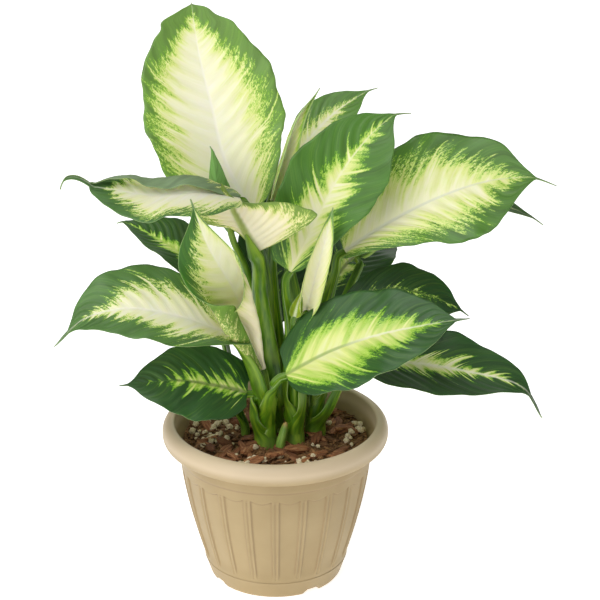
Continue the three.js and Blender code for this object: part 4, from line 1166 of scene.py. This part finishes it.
def scatter(name, random, spots, shape, material, sink, tilt):
    """Many small loose bits as one piece. Each bit carries its own tint and its grain's direction."""
    bits = []
    for spot in spots:
        bit, faces = shape()
        yaw = random.uniform(0, 2 * math.pi)
        moved = turned(bit, yaw, random.uniform(-tilt, tilt), random.uniform(-tilt, tilt))
        drop = moved[:, 2].min() + sink * np.ptp(moved[:, 2]) + 0.6
        bits.append((moved + spot - (0, 0, drop), faces, bit * (0.12, 1, 1) + random.uniform(0, 400, 3)))
    points, faces, grain = joined(bits)
    piece = make_piece(name, points, faces, [material], {"grain": grain}, smooth=False)
    place_piece(piece, "potting_mix")


def soil_material():
    s = Surface("mix_bed", 0.9, 0.2)
    place = s.place()
    crumbs = s.noise(place, 420.0, 4.0, 0.7)
    base = s.tones(crumbs, {0.32: (74, 50, 32), 0.52: (132, 96, 60), 0.7: (186, 144, 100)})
    s.set("Base Color", s.mix(s.span(s.noise(place, 60.0), 0.4, 0.7, 0.0, 0.4), base, colour(62, 36, 20)))
    s.bump(crumbs, 0.9, 0.0015)
    return s.material


def bark_material(name, dark, middle, light):
    """Split bark with fibres along each chip; every chip has its own tint."""
    s = Surface(name, 0.75, 0.3)
    fibre = s.grain("grain", (0.8, 0.8, 0.8), detail=4, roughness=0.65)
    tint = s.grain("grain", (0.02, 0.012, 0.012), detail=1)
    base = s.tones(fibre, {0.3: dark, 0.52: middle, 0.75: light})
    s.set("Base Color", s.mix(s.span(tint, 0.35, 0.65, 0.0, 0.75), base, colour(*dark)))
    s.bump(fibre, 0.8, 0.0008)
    return s.material


def perlite_material():
    s = Surface("perlite", 0.85, 0.3)
    pits = s.grain("grain", (1.6, 1.6, 1.6), detail=3, roughness=0.7)
    s.set("Base Color", s.tones(pits, {0.3: (170, 146, 106), 0.5: (222, 206, 168), 0.7: (246, 238, 214)}))
    s.bump(pits, 0.7, 0.0006)
    return s.material


def make_potting_mix():
    random = np.random.default_rng(SOIL.seed)
    make_soil(random)
    for name, (count, reach, length, width, height, sink, tilt, *looks) in BARK.items():
        spots = scattered_spots(random, count, reach)
        ranges = (length, width, height)
        scatter(name, random, spots, lambda: chip_shape(random, *[random.uniform(*ends) for ends in ranges]),
                bark_material(*looks), sink, tilt)
    spots = scattered_spots(random, PERLITE.count, PERLITE.reach, PERLITE.heaps)
    scatter("perlite", random, spots, lambda: pebble_shape(random, random.uniform(*PERLITE.size)),
            perlite_material(), PERLITE.sink, PERLITE.tilt)


# Studio

def make_floor():
    s = Surface("pale_floor", 0.9, 0.1)
    s.set("Base Color", s.tones(s.noise(s.place(), 3.0), {0.3: (246, 246, 246), 0.7: (249, 249, 249)}))
    s.set("Emission Color", (1, 1, 1, 1))
    s.set("Emission Strength", 0.75)
    bpy.ops.mesh.primitive_plane_add(size=14, location=(0, 3, 0))
    floor = bpy.context.object
    floor.name = "floor"
    floor.data.materials.append(s.material)


def make_sky():
    world = bpy.data.worlds.new("studio")
    world.use_nodes = True
    sky = world.node_tree.nodes["Background"]
    sky.inputs["Color"].default_value = (1, 1, 1, 1)
    sky.inputs["Strength"].default_value = 0.25
    bpy.context.scene.world = world
    bpy.context.scene.view_settings.view_transform = "Standard"


def soft_light(name, place, size, power):
    """A square soft box that faces the plant's middle."""
    data = bpy.data.lights.new(name, "AREA")
    data.size = size
    data.energy = power
    lamp = bpy.data.objects.new(name, data)
    bpy.context.scene.collection.objects.link(lamp)
    x, y, z = np.array([0, 0, 0.2]) - place
    lamp.location = place
    lamp.rotation_euler = (math.atan2(math.hypot(x, y), -z), 0, math.atan2(-x, y))


def make_camera():
    """The photograph's view: 1.5 m away, looking down into the pot's mouth."""
    rise = math.radians(CAMERA.rise)
    place = (CAMERA.aim_x, -CAMERA.distance * math.cos(rise), CAMERA.aim_z + CAMERA.distance * math.sin(rise))
    data = bpy.data.cameras.new("camera")
    data.sensor_width = CAMERA.sensor
    data.lens = CAMERA.focal_pixels / CAMERA.frame_pixels * CAMERA.sensor
    camera = bpy.data.objects.new("camera", data)
    camera.location = np.array(place) * MM + POT_AXIS
    camera.rotation_euler = (math.pi / 2 - math.radians(CAMERA.pitch), 0, 0)
    bpy.context.scene.collection.objects.link(camera)
    bpy.context.scene.camera = camera


# Assembly

make_camera()
make_floor()
for light, values in LIGHTS.items():
    soft_light(light, *values)
make_sky()
make_pot()
make_potting_mix()
make_shoots()
make_sprout()
make_leaves()
